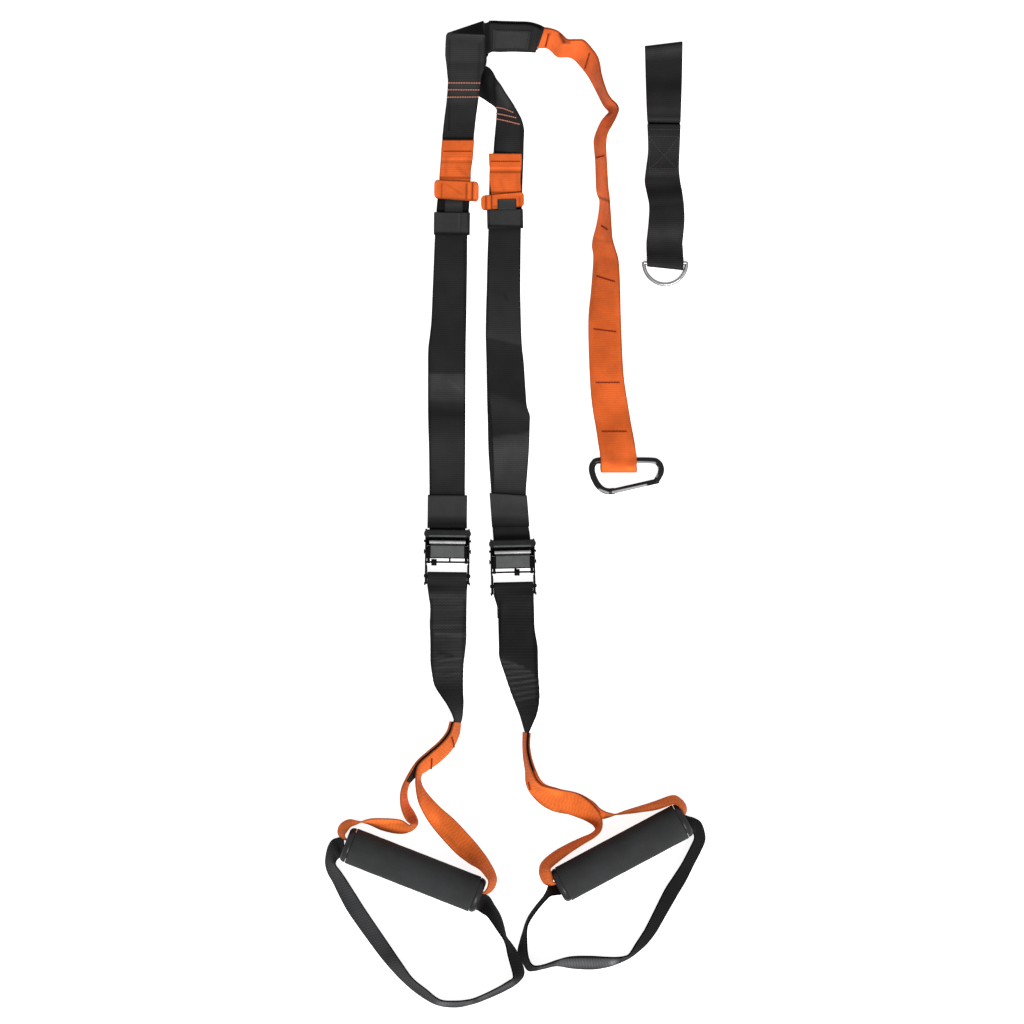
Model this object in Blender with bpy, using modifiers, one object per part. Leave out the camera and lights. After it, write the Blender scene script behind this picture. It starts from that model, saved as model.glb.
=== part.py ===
"""Suspension trainer laid flat on the floor, modelled as separate webbing, buckle and handle pieces.

The straps run along +Y, the anchor end is at +Y and the handles are at -Y. The floor is z = 0.
Lengths in this file are millimetres until they are scaled to metres where a mesh is made.
"""

import math
from collections import namedtuple

import bmesh
import bpy
from mathutils import Matrix, Vector

MM = 0.001
# Puts the origin under the middle of the laid-out trainer
LAYOUT_SHIFT = Vector((-0.37, -0.20, 0.0))

# Webbing sizes
STRAP_WIDTH = 37.0
RISER_WIDTH = 40.0
BAND_WIDTH = 38.0
LEAD_WIDTH = 38.0
ANCHOR_STRAP_WIDTH = 38.5
YOKE_WIDTH = 25.0
LOOP_WIDTH = 20.0
THICKNESS = 1.6
FIT_GAP = 0.4

# Heights of the layers where a main strap and its tail run through the sliding sleeves
SLEEVE_WALL = 1.0
MAIN_LIFT = SLEEVE_WALL + FIT_GAP
TAIL_LIFT = MAIN_LIFT + THICKNESS + FIT_GAP
ABOVE_TAIL = TAIL_LIFT + THICKNESS + FIT_GAP
SLEEVE_INNER_HALF = STRAP_WIDTH / 2 + 0.6

# Cam buckle, in its own frame: u across the strap, v up the strap, z up from the floor
PLATE_INNER = 21.6
PLATE_THICKNESS = 1.8
PLATE_OUTER = PLATE_INNER + PLATE_THICKNESS
STRAP_BAR_V = -7.0
STRAP_BAR_Z = 4.1
STRAP_BAR_R = 1.4
CAM_PIN_V = -17.9
CAM_PIN_Z = 9.0
CAM_PIN_R = 1.1
BOTTOM_BAR_V = -32.5
BOTTOM_BAR_Z = 4.9
BOTTOM_BAR_R = 2.0
RISER_BIGHT_GAP = 0.7
LEVER_HALF = 18.6
LEVER_EAR = (17.4, 21.1)
# Where the cam spring's first turn sits on the pin
SPRING_U = {"left": -16.4, "right": 1.6}

# Handle
GRIP_LENGTH = 146.0
CAP_FLANGE = 3.0
FOAM_R = 19.0
CAP_FLANGE_R = 19.4
GRIP_AXIS_Z = CAP_FLANGE_R
TUBE_R = 15.75
TUBE_BORE_R = 14.6
CAP_PLUG_R = 14.2
CAP_BORE_R = 13.3
CAP_PLUG_LENGTH = 12.0
FOAM_BORE_R = 16.1

# Carabiner and D-ring
CARABINER_ROD_R = 3.3
CARABINER_BAR_Y = 55.1
CARABINER_BAR_Z = 5.4
D_RING_ROD_R = 2.0
D_RING_R = 22.5
D_RING_CENTRE = (157.6, 262.5)
D_RING_BAR_Z = 4.0

SIDE_FIELDS = "name x y lean sleeve_v tab_top tab_skew bulge keeper_v loop_v grip_x grip_y grip_angle"
Side = namedtuple("Side", SIDE_FIELDS)
SIDES = (
    Side("left", -70.8, -33.6, 0.012, (17.5, 52.5), 424.0, 5.4, 1, (362.0, 382.0), (325.5, 349.0),
         -106.8, -373.6, math.radians(-21.4)),
    Side("right", -2.4, -44.1, -0.0225, (29.5, 64.0), 421.0, 1.6, -1, (363.6, 379.0), (342.6, 362.6),
         112.0, -355.5, math.radians(28.1)),
)

# A spot on a strap's route: plan position, roll about the route in degrees (0 lies flat, 90 stands on
# edge), height of its lowest edge, offset along its own normal, and a factor on its width
Spot = namedtuple("Spot", "x y roll lift stack wide", defaults=(0.0, 0.0, 0.0, 1.0))
# A cross-section of a strap: centre, direction across it, normal of its upper face, half its width
Station = namedtuple("Station", "centre across normal half")

BLACK_WEBBING = ("black_webbing", (0.030, 0.030, 0.032), 0.85, 0.0)
ORANGE_WEBBING = ("orange_webbing", (0.80, 0.13, 0.02), 0.80, 0.0)
BLACK_PAINT = ("buckle_paint", (0.045, 0.048, 0.050), 0.40, 0.0)
BRIGHT_STEEL = ("bright_steel", (0.62, 0.62, 0.64), 0.25, 1.0)
BLACK_ANODISED = ("black_anodised", (0.030, 0.030, 0.034), 0.32, 0.6)
GRIP_FOAM = ("grip_foam", (0.050, 0.052, 0.052), 0.90, 0.0)
CAP_PLASTIC = ("cap_plastic", (0.040, 0.040, 0.042), 0.35, 0.0)


def start_scene():
    for old in list(bpy.data.objects):
        bpy.data.objects.remove(old, do_unlink=True)
    for name in ("suspension_trainer", "cutters"):
        bpy.context.scene.collection.children.link(bpy.data.collections.new(name))


def material(kind):
    name, colour, roughness, metallic = kind
    found = bpy.data.materials.get(name)
    if found:
        return found
    made = bpy.data.materials.new(name)
    made.use_nodes = True
    shader = made.node_tree.nodes["Principled BSDF"]
    shader.inputs["Base Color"].default_value = (*colour, 1.0)
    shader.inputs["Roughness"].default_value = roughness
    shader.inputs["Metallic"].default_value = metallic
    return made


def add(name, data, kind, parent=None):
    """A part in the trainer's collection, under its parent empty without being moved by it."""
    obj = bpy.data.objects.new(name, data)
    bpy.data.collections["suspension_trainer"].objects.link(obj)
    data.materials.append(material(kind))
    if parent is not None:
        obj.parent = parent
        obj.matrix_parent_inverse = parent.matrix_world.inverted()
    return obj


def empty(name, place, parent=None, turn=0.0):
    """An empty on a joint's axis, at a place in millimetres, turned about Z."""
    obj = bpy.data.objects.new(name, None)
    bpy.data.collections["suspension_trainer"].objects.link(obj)
    if parent is not None:
        obj.parent = parent
        obj.matrix_parent_inverse = parent.matrix_world.inverted()
    obj.matrix_world = Matrix.Translation(Vector(place) * MM) @ Matrix.Rotation(turn, 4, "Z")
    bpy.context.view_layer.update()
    return obj


def cutter(name, data, matrix):
    obj = bpy.data.objects.new(name, data)
    bpy.data.collections["cutters"].objects.link(obj)
    obj.matrix_world = matrix
    obj.hide_render = True
    obj.display_type = "WIRE"
    return obj


def boolean(obj, tool, operation):
    mod = obj.modifiers.new(tool.name, "BOOLEAN")
    mod.object = tool
    mod.operation = operation


# Straps


def smooth(spots, steps):
    """Catmull-Rom through the spots, with steps intervals between neighbours."""
    line = []
    for i in range(len(spots) - 1):
        before = spots[max(i - 1, 0)]
        after = spots[min(i + 2, len(spots) - 1)]
        for step in range(steps):
            t = step / steps
            values = []
            for a, b, c, d in zip(before, spots[i], spots[i + 1], after):
                bend = 2 * a - 5 * b + 4 * c - d
                swing = -a + 3 * b - 3 * c + d
                values.append(0.5 * (2 * b + (c - a) * t + bend * t * t + swing * t ** 3))
            line.append(Spot(*values))
    line.append(spots[-1])
    return line


def laid(spots, width, steps=2, thickness=THICKNESS):
    """Stations of a strap whose lowest edge is at each spot's lift above the floor."""
    line = smooth(spots, steps)
    points = []
    for spot in line:
        half = width * spot.wide / 2
        roll = math.radians(spot.roll)
        height = spot.lift + abs(math.sin(roll)) * half + abs(math.cos(roll)) * thickness / 2
        points.append(Vector((spot.x, spot.y, height)))
    stations = []
    for i, spot in enumerate(line):
        along = points[min(i + 1, len(points) - 1)] - points[max(i - 1, 0)]
        along.normalize()
        level = Vector((0, 0, 1)).cross(along).normalized()
        raised = along.cross(level)
        roll = math.radians(spot.roll)
        across = level * math.cos(roll) + raised * math.sin(roll)
        normal = along.cross(across)
        centre = points[i] + normal * spot.stack
        stations.append(Station(centre, across, normal, width * spot.wide / 2))
    return stations


def moved(station, distance):
    return station._replace(centre=station.centre + station.normal * distance)


def fold(station, radius, steps=4):
    """Stations of a half turn past the end of a strap, from above the station to below it."""
    along = station.across.cross(station.normal)
    turn = []
    for step in range(1, steps):
        angle = math.pi * step / steps
        out = station.normal * math.cos(angle) + along * math.sin(angle)
        turn.append(station._replace(centre=station.centre + out * radius, normal=out))
    return turn


def doubled(stations, spreads):
    """Two plies of one strap, each spread away from the stations, joined by a fold at the last one."""
    upper = [moved(s, d) for s, d in zip(stations, spreads)]
    lower = [moved(s, -d)._replace(normal=-s.normal) for s, d in zip(stations, spreads)]
    return upper + fold(stations[-1], spreads[-1]) + lower[::-1]


def ribbon(name, stations, kind, parent, thickness=THICKNESS):
    """A strap as one closed loft of flat cross-sections."""
    bm = bmesh.new()
    rings = []
    for s in stations:
        side = s.across * s.half
        rise = s.normal * thickness / 2
        corners = (-side - rise, side - rise, side + rise, rise - side)
        rings.append([bm.verts.new((s.centre + c) * MM) for c in corners])
    for near, far in zip(rings, rings[1:]):
        for k in range(4):
            n = (k + 1) % 4
            bm.faces.new((near[k], near[n], far[n], far[k]))
    bm.faces.new(rings[0][::-1])
    bm.faces.new(rings[-1])
    bmesh.ops.triangulate(bm, faces=bm.faces)
    bmesh.ops.recalc_face_normals(bm, faces=bm.faces)
    mesh = bpy.data.meshes.new(name)
    bm.to_mesh(mesh)
    bm.free()
    return add(name, mesh, kind, parent)


# Solids


def outline(name, loops, depth, kind=None, parent=None):
    """A flat outline in the curve's XY plane, with holes, as a slab of the given depth about it."""
    curve = bpy.data.curves.new(name, "CURVE")
    curve.dimensions = "2D"
    curve.fill_mode = "BOTH"
    curve.extrude = depth / 2 * MM
    for loop in loops:
        spline = curve.splines.new("POLY")
        spline.points.add(len(loop) - 1)
        for point, (x, y) in zip(spline.points, loop):
            point.co = (x * MM, y * MM, 0, 1)
        spline.use_cyclic_u = True
    if kind is None:
        return curve
    return add(name, curve, kind, parent)


def circle(x, y, radius, count=12):
    turns = [2 * math.pi * k / count for k in range(count)]
    return [(x + radius * math.cos(a), y + radius * math.sin(a)) for a in turns]


def rounded_box(x0, y0, x1, y1, radius, count=3):
    """Corners of a box with rounded corners, anticlockwise."""
    corners = ((x1 - radius, y0 + radius, -90), (x1 - radius, y1 - radius, 0))
    corners += ((x0 + radius, y1 - radius, 90), (x0 + radius, y0 + radius, 180))
    points = []
    for x, y, start in corners:
        for k in range(count + 1):
            angle = math.radians(start + 90 * k / count)
            points.append((x + radius * math.cos(angle), y + radius * math.sin(angle)))
    return points


def turned(name, profile, kind, parent, place, towards, closed, steps=16):
    """A turned piece about the line through place along towards, from (radius, height) points."""
    mesh = bpy.data.meshes.new(name)
    verts = [(r * MM, 0, h * MM) for r, h in profile]
    count = len(verts)
    edges = [(k, k + 1) for k in range(count - 1)]
    if closed:
        edges.append((count - 1, 0))
    mesh.from_pydata(verts, edges, [])
    obj = add(name, mesh, kind)
    turn = Vector(towards).to_track_quat("Z", "Y").to_matrix().to_4x4()
    obj.matrix_world = Matrix.Translation(Vector(place) * MM) @ turn
    bpy.context.view_layer.update()
    keep_under(obj, parent)
    screw = obj.modifiers.new("turn", "SCREW")
    screw.angle = 2 * math.pi
    screw.steps = steps
    screw.render_steps = steps
    screw.use_merge_vertices = True
    screw.merge_threshold = 0.00001
    return obj


def keep_under(obj, parent):
    """Parents an object that is already placed, without moving it."""
    place = obj.matrix_world.copy()
    obj.parent = parent
    obj.matrix_parent_inverse = parent.matrix_world.inverted()
    obj.matrix_world = place


def wire(name, points, radius, kind, parent, resolution=2, cyclic=False):
    """A round rod along points, as a bevelled curve with filled caps."""
    curve = bpy.data.curves.new(name, "CURVE")
    curve.dimensions = "3D"
    curve.bevel_depth = radius * MM
    curve.bevel_resolution = resolution
    curve.use_fill_caps = True
    spline = curve.splines.new("POLY")
    spline.points.add(len(points) - 1)
    for point, place in zip(spline.points, points):
        point.co = (*(Vector(place) * MM), 1)
    spline.use_cyclic_u = cyclic
    return add(name, curve, kind, parent)


def as_mesh(obj):
    """Replaces a curve object by its mesh, with the caps welded, so that it can be cut."""
    bpy.context.view_layer.update()
    graph = bpy.context.evaluated_depsgraph_get()
    mesh = bpy.data.meshes.new_from_object(obj.evaluated_get(graph))
    bm = bmesh.new()
    bm.from_mesh(mesh)
    bmesh.ops.remove_doubles(bm, verts=bm.verts, dist=0.00001)
    bmesh.ops.recalc_face_normals(bm, faces=bm.faces)
    bm.to_mesh(mesh)
    bm.free()
    name, parent, place = obj.name, obj.parent, obj.matrix_world.copy()
    bpy.data.objects.remove(obj, do_unlink=True)
    made = bpy.data.objects.new(name, mesh)
    bpy.data.collections["suspension_trainer"].objects.link(made)
    made.matrix_world = place
    bpy.context.view_layer.update()
    if parent is not None:
        keep_under(made, parent)
    return made


def block_mesh(name, size):
    bm = bmesh.new()
    bmesh.ops.create_cube(bm, size=1.0)
    bmesh.ops.scale(bm, vec=Vector(size) * MM, verts=bm.verts)
    mesh = bpy.data.meshes.new(name)
    bm.to_mesh(mesh)
    bm.free()
    return mesh


def rod_mesh(name, radius, length, count=12):
    bm = bmesh.new()
    bmesh.ops.create_cone(
        bm, cap_ends=True, segments=count, radius1=radius * MM, radius2=radius * MM, depth=length * MM
    )
    mesh = bpy.data.meshes.new(name)
    bm.to_mesh(mesh)
    bm.free()
    return mesh


# Anchor end: the black band, its patch, the orange lead and the carabiner

BAND_ROUTE = (
    Spot(-32.0, 500.6, 10, 3.2, 0.0, 0.86),
    Spot(-26.0, 500.8, 17, 3.2, 0.0, 0.91),
    Spot(-13.0, 500.8, 26, 3.2, 0.0, 0.95),
    Spot(4.0, 500.0, 34, 3.2),
    Spot(18.0, 497.6, 40, 3.2),
    Spot(29.0, 494.8, 46, 3.2),
)
LEAD_ROUTE = (
    Spot(4.0, 500.0, 34, 3.2),
    Spot(18.0, 497.6, 40, 3.2),
    Spot(29.0, 494.8, 46, 3.2),
    Spot(40.0, 491.6, 53, 2.4),
    Spot(50.0, 486.6, 58, 1.5),
    Spot(61.0, 486.0, 60, 1.5),
    Spot(70.4, 483.0, 55, 1.5),
    Spot(78.0, 475.5, 55, 1.5),
    Spot(83.5, 466.0, 62, 1.5),
    Spot(87.5, 454.5, 71, 1.0),
    Spot(92.5, 440.0, 77, 1.0),
    Spot(99.0, 428.5, 79, 1.0),
    Spot(104.5, 420.5, 82, 1.0),
    Spot(99.5, 412.0, 74, 1.0),
    Spot(92.0, 401.0, 70, 1.0),
    Spot(89.5, 381.0, 69, 1.0),
    Spot(90.5, 355.0, 73, 1.0),
    Spot(93.0, 333.0, 74, 1.0),
    Spot(93.5, 310.0, 68, 1.0),
    Spot(92.5, 290.0, 59, 1.0),
    Spot(95.0, 265.5, 48, 1.2),
    Spot(94.2, 231.0, 34, 1.2),
    Spot(94.8, 202.5, 27, 1.2),
    Spot(96.5, 147.0, 20, 1.2),
    Spot(100.5, 112.0, 8, 1.4),
    Spot(105.5, 84.0, 0, 2.6),
    Spot(107.6, 66.0, 0, 4.6),
    Spot(108.0, 56.0, 0, 4.6),
    Spot(108.0, 47.2, 0, 4.6),
)
PLY_SPREAD = THICKNESS / 2 + 0.2
LOOP_SPREAD = CARABINER_BAR_Z - THICKNESS / 2 - 0.1
BAND_SPREAD = PLY_SPREAD + THICKNESS + 0.7
PATCH_HALF = 10.7
PATCH_THICKNESS = 1.0
PATCH_SPAN = (-24.0, 16.0)
PATCH_GAP = 0.5


def lead_spreads(stations):
    """Half the distance between the lead's plies: close together, then open round the carabiner's bar."""
    spreads = []
    for s in stations:
        opened = min(max((98.0 - s.centre.y) / 32.0, 0.0), 1.0)
        spreads.append(PLY_SPREAD + (LOOP_SPREAD - PLY_SPREAD) * opened)
    return spreads


def anchor_end(root):
    stations = laid(LEAD_ROUTE, LEAD_WIDTH)
    ribbon("anchor_lead", doubled(stations, lead_spreads(stations)), ORANGE_WEBBING, root)
    flat = laid(BAND_ROUTE, BAND_WIDTH, 4)
    band = [s._replace(across=-s.across) for s in reversed(flat)]
    folded = doubled(band, [BAND_SPREAD] * len(band))
    ribbon("anchor_band", folded, BLACK_WEBBING, root)
    above = BAND_SPREAD + (THICKNESS + PATCH_THICKNESS) / 2 + PATCH_GAP
    start, end = PATCH_SPAN
    patch = [moved(s, above)._replace(half=PATCH_HALF) for s in flat if start < s.centre.x < end]
    ribbon("band_patch", patch, BLACK_WEBBING, root, thickness=PATCH_THICKNESS)


# Carabiner, lying with its top bar in the lead's end loop and its gate towards -Y

CARABINER_ROUTE = (
    (104.0, 23.2), (98.0, 22.8), (92.0, 24.6), (87.0, 29.2), (82.5, 37.5), (80.6, 46.0), (82.3, 51.8),
    (88.0, 55.1), (112.0, 55.1), (142.0, 55.1), (149.5, 53.2), (153.0, 48.0), (152.6, 41.5), (148.0, 33.2),
)
GATE_HINGE = (148.0, 33.2)
GATE_NOSE = (104.0, 23.2)
GATE_LOW_Z = 3.5
GATE_R = 2.7
# The hinge: a tongue on the gate stands in a slot of the body, and a headless pin goes through both
GATE_SLOT = 2.6
GATE_TONGUE = 2.0
GATE_PIN_R = 0.9
GATE_PIN_HOLE_R = 1.25
# The spring's bore inside the gate, from the hinge, with a small vent to the outside
GATE_BORE_R = 1.6
GATE_BORE = (11.0, 27.0)


def carabiner_height(y):
    """The body lies on the floor at its gate and is raised by the webbing under its top bar."""
    slope = (CARABINER_BAR_Z - GATE_LOW_Z) / (CARABINER_BAR_Y - GATE_NOSE[1])
    return GATE_LOW_Z + (y - GATE_NOSE[1]) * slope


def carabiner(root):
    pivot = empty("carabiner_pivot", (112.0, CARABINER_BAR_Y, CARABINER_BAR_Z), root)
    hinge_z = carabiner_height(GATE_HINGE[1])
    gate_pivot = empty("carabiner_gate_pivot", (*GATE_HINGE, hinge_z), pivot)
    points = [(x, y, carabiner_height(y)) for x, y in CARABINER_ROUTE]
    hinge = Vector(points[-1])
    nose = Vector((*GATE_NOSE, carabiner_height(GATE_NOSE[1])))
    run = (nose - hinge).normalized()
    tip = nose - run * (CARABINER_ROD_R + 2.0)
    points[-1] = tuple(hinge + (Vector(points[-1]) - Vector(points[-2])).normalized() * 3.0)
    body = as_mesh(wire("carabiner_body", points, CARABINER_ROD_R, BLACK_ANODISED, pivot))
    gate = as_mesh(wire("carabiner_gate", (hinge - run * 2.2, tip), GATE_R, BLACK_ANODISED, gate_pivot, 3))
    upright = Matrix.Translation(hinge * MM)
    reach = 15.0
    slot = cutter("gate_slot", block_mesh("gate_slot", (reach, reach, GATE_SLOT)), upright)
    hole = cutter("gate_pin_hole", rod_mesh("gate_pin_hole", GATE_PIN_HOLE_R, reach), upright)
    boolean(body, slot, "DIFFERENCE")
    boolean(body, hole, "DIFFERENCE")
    deep = 10.0
    for level in (-1, 1):
        middle = hinge + Vector((0, 0, level * (GATE_TONGUE + deep) / 2))
        block = block_mesh("gate_cheek", (reach + 3.0, reach + 3.0, deep))
        boolean(gate, cutter(f"gate_cheek_{level}", block, Matrix.Translation(middle * MM)), "DIFFERENCE")
    boolean(gate, hole, "DIFFERENCE")
    bore_start, bore_end = GATE_BORE
    bore_place = Matrix.Translation((hinge + run * (bore_start + bore_end) / 2) * MM)
    bore_turn = run.to_track_quat("Z", "Y").to_matrix().to_4x4()
    bore_mesh = rod_mesh("gate_bore", GATE_BORE_R, bore_end - bore_start)
    boolean(gate, cutter("gate_bore", bore_mesh, bore_place @ bore_turn), "DIFFERENCE")
    boolean(gate, cutter("gate_vent", rod_mesh("gate_vent", GATE_BORE_R / 2, 8.0), bore_place), "DIFFERENCE")
    pin_half = 2.9
    pin = ((0, pin_half), (GATE_PIN_R, pin_half), (GATE_PIN_R, -pin_half), (0, -pin_half))
    turned("carabiner_gate_pin", pin, BRIGHT_STEEL, pivot, hinge, (0, 0, 1), False, 10)
    coil = []
    side_a = run.orthogonal().normalized()
    side_b = run.cross(side_a)
    turns, each, pitch, radius = 5, 8, 2.2, 1.0
    for k in range(turns * each + 1):
        angle = 2 * math.pi * k / each
        out = side_a * math.cos(angle) + side_b * math.sin(angle)
        coil.append(hinge + run * (bore_start + 2.0 + pitch * k / each) + out * radius)
    wire("carabiner_gate_spring", coil, 0.22, BRIGHT_STEEL, gate_pivot, 0)


# Loose anchor strap with its D-ring


def anchor_strap(root):
    lift = empty("anchor_strap_lift", (157.0, 377.0, 0.0), root)
    ring_x, ring_y = D_RING_CENTRE
    pivot = empty("d_ring_pivot", (ring_x, ring_y, D_RING_BAR_Z), lift)
    top = 494.0
    join = 410.0
    low = 0.1
    high = low + THICKNESS + FIT_GAP
    bar = D_RING_ROD_R + FIT_GAP
    centre = D_RING_BAR_Z
    reach = bar + THICKNESS / 2
    plies = (
        Spot(157.8, join + 1.0, 0, high),
        Spot(155.5, 440.0, 0, high),
        Spot(156.2, 470.0, 0, high),
        Spot(156.0, top, 0, high),
    )
    upper = laid(plies, ANCHOR_STRAP_WIDTH)
    end = upper[-1]
    turn = fold(moved(end, -PLY_SPREAD), PLY_SPREAD, 3)
    down = (
        Spot(156.0, top, 0, low),
        Spot(156.2, 470.0, 0, low),
        Spot(155.5, 440.0, 0, low),
        Spot(157.8, join, 0, low),
        Spot(160.0, 370.0, 0, low),
        Spot(158.6, 330.0, 0, low),
        Spot(156.8, 295.0, 0, low),
        Spot(ring_x, ring_y + 8.0, 0, low),
        Spot(ring_x, ring_y, 0, centre - reach - THICKNESS / 2),
    )
    under = [s._replace(normal=-s.normal, across=-s.across) for s in laid(down, ANCHOR_STRAP_WIDTH)]
    ring_turn = []
    for k in range(1, 6):
        angle = math.pi * k / 6
        out = Vector((0, -math.sin(angle), -math.cos(angle)))
        place = Vector((ring_x, ring_y, centre)) + out * reach
        ring_turn.append(Station(place, under[-1].across, out, under[-1].half))
    back = (
        Spot(ring_x, ring_y, 0, centre + bar),
        Spot(ring_x, ring_y + 4.0, 0, centre + bar - 1.2),
        Spot(ring_x, ring_y + 11.0, 0, high + FIT_GAP),
        Spot(156.8, 295.0, 0, high),
        Spot(158.6, 330.0, 0, high),
        Spot(160.0, 370.0, 0, high),
        Spot(157.8, join - 1.0, 0, high),
    )
    over = laid(back, ANCHOR_STRAP_WIDTH)
    across = upper[0].across
    stations = []
    for s in upper + turn + under + ring_turn + over:
        stations.append(s if s.across.dot(across) > 0 else s._replace(across=-s.across))
    ribbon("anchor_strap", stations, BLACK_WEBBING, lift)
    ring = []
    for k in range(13):
        angle = math.pi * (1 + k / 12)
        x = ring_x + D_RING_R * math.cos(angle)
        y = ring_y + D_RING_R * math.sin(angle)
        z = D_RING_ROD_R + (D_RING_BAR_Z - D_RING_ROD_R) * (y - ring_y + D_RING_R) / D_RING_R
        ring.append((x, y, z))
    ring += [(ring_x + D_RING_R * f, ring_y, D_RING_BAR_Z) for f in (0.5, -0.5)]
    wire("anchor_strap_d_ring", ring, D_RING_ROD_R, BRIGHT_STEEL, pivot, 2, cyclic=True)


# Each side: straps, buckle, riser, yoke, handle and foot loop


def on_side(side, u, v, z=0.0):
    """A point of the buckle's frame in the plan."""
    return Vector((side.x + u + side.lean * v, side.y + v - side.lean * u, z))


def slide_spot(side, v, lift=MAIN_LIFT):
    place = on_side(side, 0, v)
    return Spot(place.x, place.y, 0, lift)


def side_turn(side):
    return -math.atan(side.lean)


# The left strap's wider sewn top, as west and east edges: it rises from the floor to a crease and
# then runs down over the right strap
LEFT_TOP_EDGES = (
    ((-71.0, 503.5, 1.0), (-33.0, 516.9, 16.4)),
    ((-71.2, 502.6, 6.5), (-31.4, 511.0, 16.2)),
    ((-72.0, 501.2, 12.2), (-30.4, 502.5, 16.6)),
    ((-72.5, 497.5, 13.6), (-30.0, 497.5, 16.6)),
    ((-73.0, 478.8, 12.8), (-31.5, 478.8, 13.4)),
    ((-71.8, 465.0, 11.6), (-34.0, 466.0, 11.6)),
    ((-71.2, 450.5, 11.0), (-36.5, 451.5, 11.0)),
    ((-71.9, 431.5, 6.4), (-39.2, 431.5, 6.4)),
    ((-74.0, 414.0, 3.2), (-41.0, 414.0, 3.2)),
    ((-76.3, 395.0, 2.3), (-43.0, 395.0, 2.3)),
)
RIGHT_TOP = (
    Spot(-44.5, 466.0, 6, 0.3),
    Spot(-38.3, 458.7, 13, 0.3),
    Spot(-30.5, 449.7, 34, 0.3),
    Spot(-21.5, 438.5, 54, 0.3),
    Spot(-10.5, 426.0, 58, 0.3),
    Spot(-5.8, 412.5, 42, 0.5),
    Spot(-6.0, 399.0, 24, 0.8),
    Spot(-7.2, 388.5, 7, 1.2),
)
# Where the main straps come down flat and straighten into the line that the buckles slide along
STRAIGHTEN = {
    "left": ((-61.9, 381.0), (-64.2, 367.0), (-65.7, 356.0)),
    "right": ((-8.6, 379.0), (-9.8, 366.0), (-10.5, 354.0)),
}
SLIDE_LINE = (382.0, 345.0, 300.0, 200.0, 100.0, 20.0, -2.0)


def between_edges(pairs, steps=2):
    """Stations of a strap from both its edges, each a point of the middle of its thickness."""
    wests = smooth([Spot(*west) for west, _ in pairs], steps)
    easts = smooth([Spot(*east) for _, east in pairs], steps)
    middles = [(Vector(w[:3]) + Vector(e[:3])) / 2 for w, e in zip(wests, easts)]
    stations = []
    for i, centre in enumerate(middles):
        span = Vector(easts[i][:3]) - Vector(wests[i][:3])
        along = middles[min(i + 1, len(middles) - 1)] - middles[max(i - 1, 0)]
        stations.append(Station(centre, span.normalized(), along.cross(span).normalized(), span.length / 2))
    return stations


def main_strap(side, root):
    """The rear layer, from the anchor band to the point where the strap bar's turn starts."""
    line = [Spot(x, y, 0, MAIN_LIFT) for x, y in STRAIGHTEN[side.name]]
    line += [slide_spot(side, v) for v in SLIDE_LINE]
    if side.name == "left":
        stations = between_edges(LEFT_TOP_EDGES) + laid(line, STRAP_WIDTH)
    else:
        stations = laid(list(RIGHT_TOP) + line, STRAP_WIDTH)
    ribbon(f"{side.name}_main_strap", stations, BLACK_WEBBING, root)


def tail_strap(side, parent):
    """The front layer: round the strap bar and back up to the adjusting tab."""
    across = Vector((1, -side.lean, 0)).normalized()
    reach = STRAP_BAR_R + 0.3 + THICKNESS / 2
    path = [(0, -2.5, MAIN_LIFT + THICKNESS / 2), (0, STRAP_BAR_V + 1.5, STRAP_BAR_Z - reach + 0.1)]
    for k in range(7):
        angle = math.pi * k / 6
        path.append((0, STRAP_BAR_V - reach * math.sin(angle), STRAP_BAR_Z - reach * math.cos(angle)))
    tail_z = TAIL_LIFT + THICKNESS / 2
    skew = side.tab_skew
    path += [(0, -1.0, 5.4), (0, 4.0, tail_z), (0, 200.0, tail_z), (0, side.tab_top - 56.0, tail_z)]
    path += [(skew * 0.4, side.tab_top - 32.0, tail_z), (skew * 0.9, side.tab_top - 5.0, tail_z)]
    ribbon(f"{side.name}_tail_strap", beside(side, path, across, STRAP_WIDTH), BLACK_WEBBING, parent)


def beside(side, path, across, width):
    """Stations of a strap through (u, v, z) points of the buckle's frame."""
    stations = []
    for i, point in enumerate(path):
        behind = on_side(side, *path[max(i - 1, 0)])
        ahead = on_side(side, *path[min(i + 1, len(path) - 1)])
        normal = (ahead - behind).cross(across).normalized()
        stations.append(Station(on_side(side, *point), across, normal, width / 2))
    return stations


def sleeve(name, side, low, high, inner, outer, kind, parent, radius=0.8):
    """A flat sleeve round the strap: an outline in u and z, drawn out along v."""
    loops = (rounded_box(*outer, radius), rounded_box(*inner, radius * 0.5, 2))
    obj = outline(name, loops, high - low, kind)
    upright = Matrix.Rotation(math.pi / 2, 4, "X")
    place = Matrix.Translation(on_side(side, 0, (low + high) / 2) * MM)
    obj.matrix_world = place @ Matrix.Rotation(side_turn(side), 4, "Z") @ upright
    bpy.context.view_layer.update()
    keep_under(obj, parent)
    return obj


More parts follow.
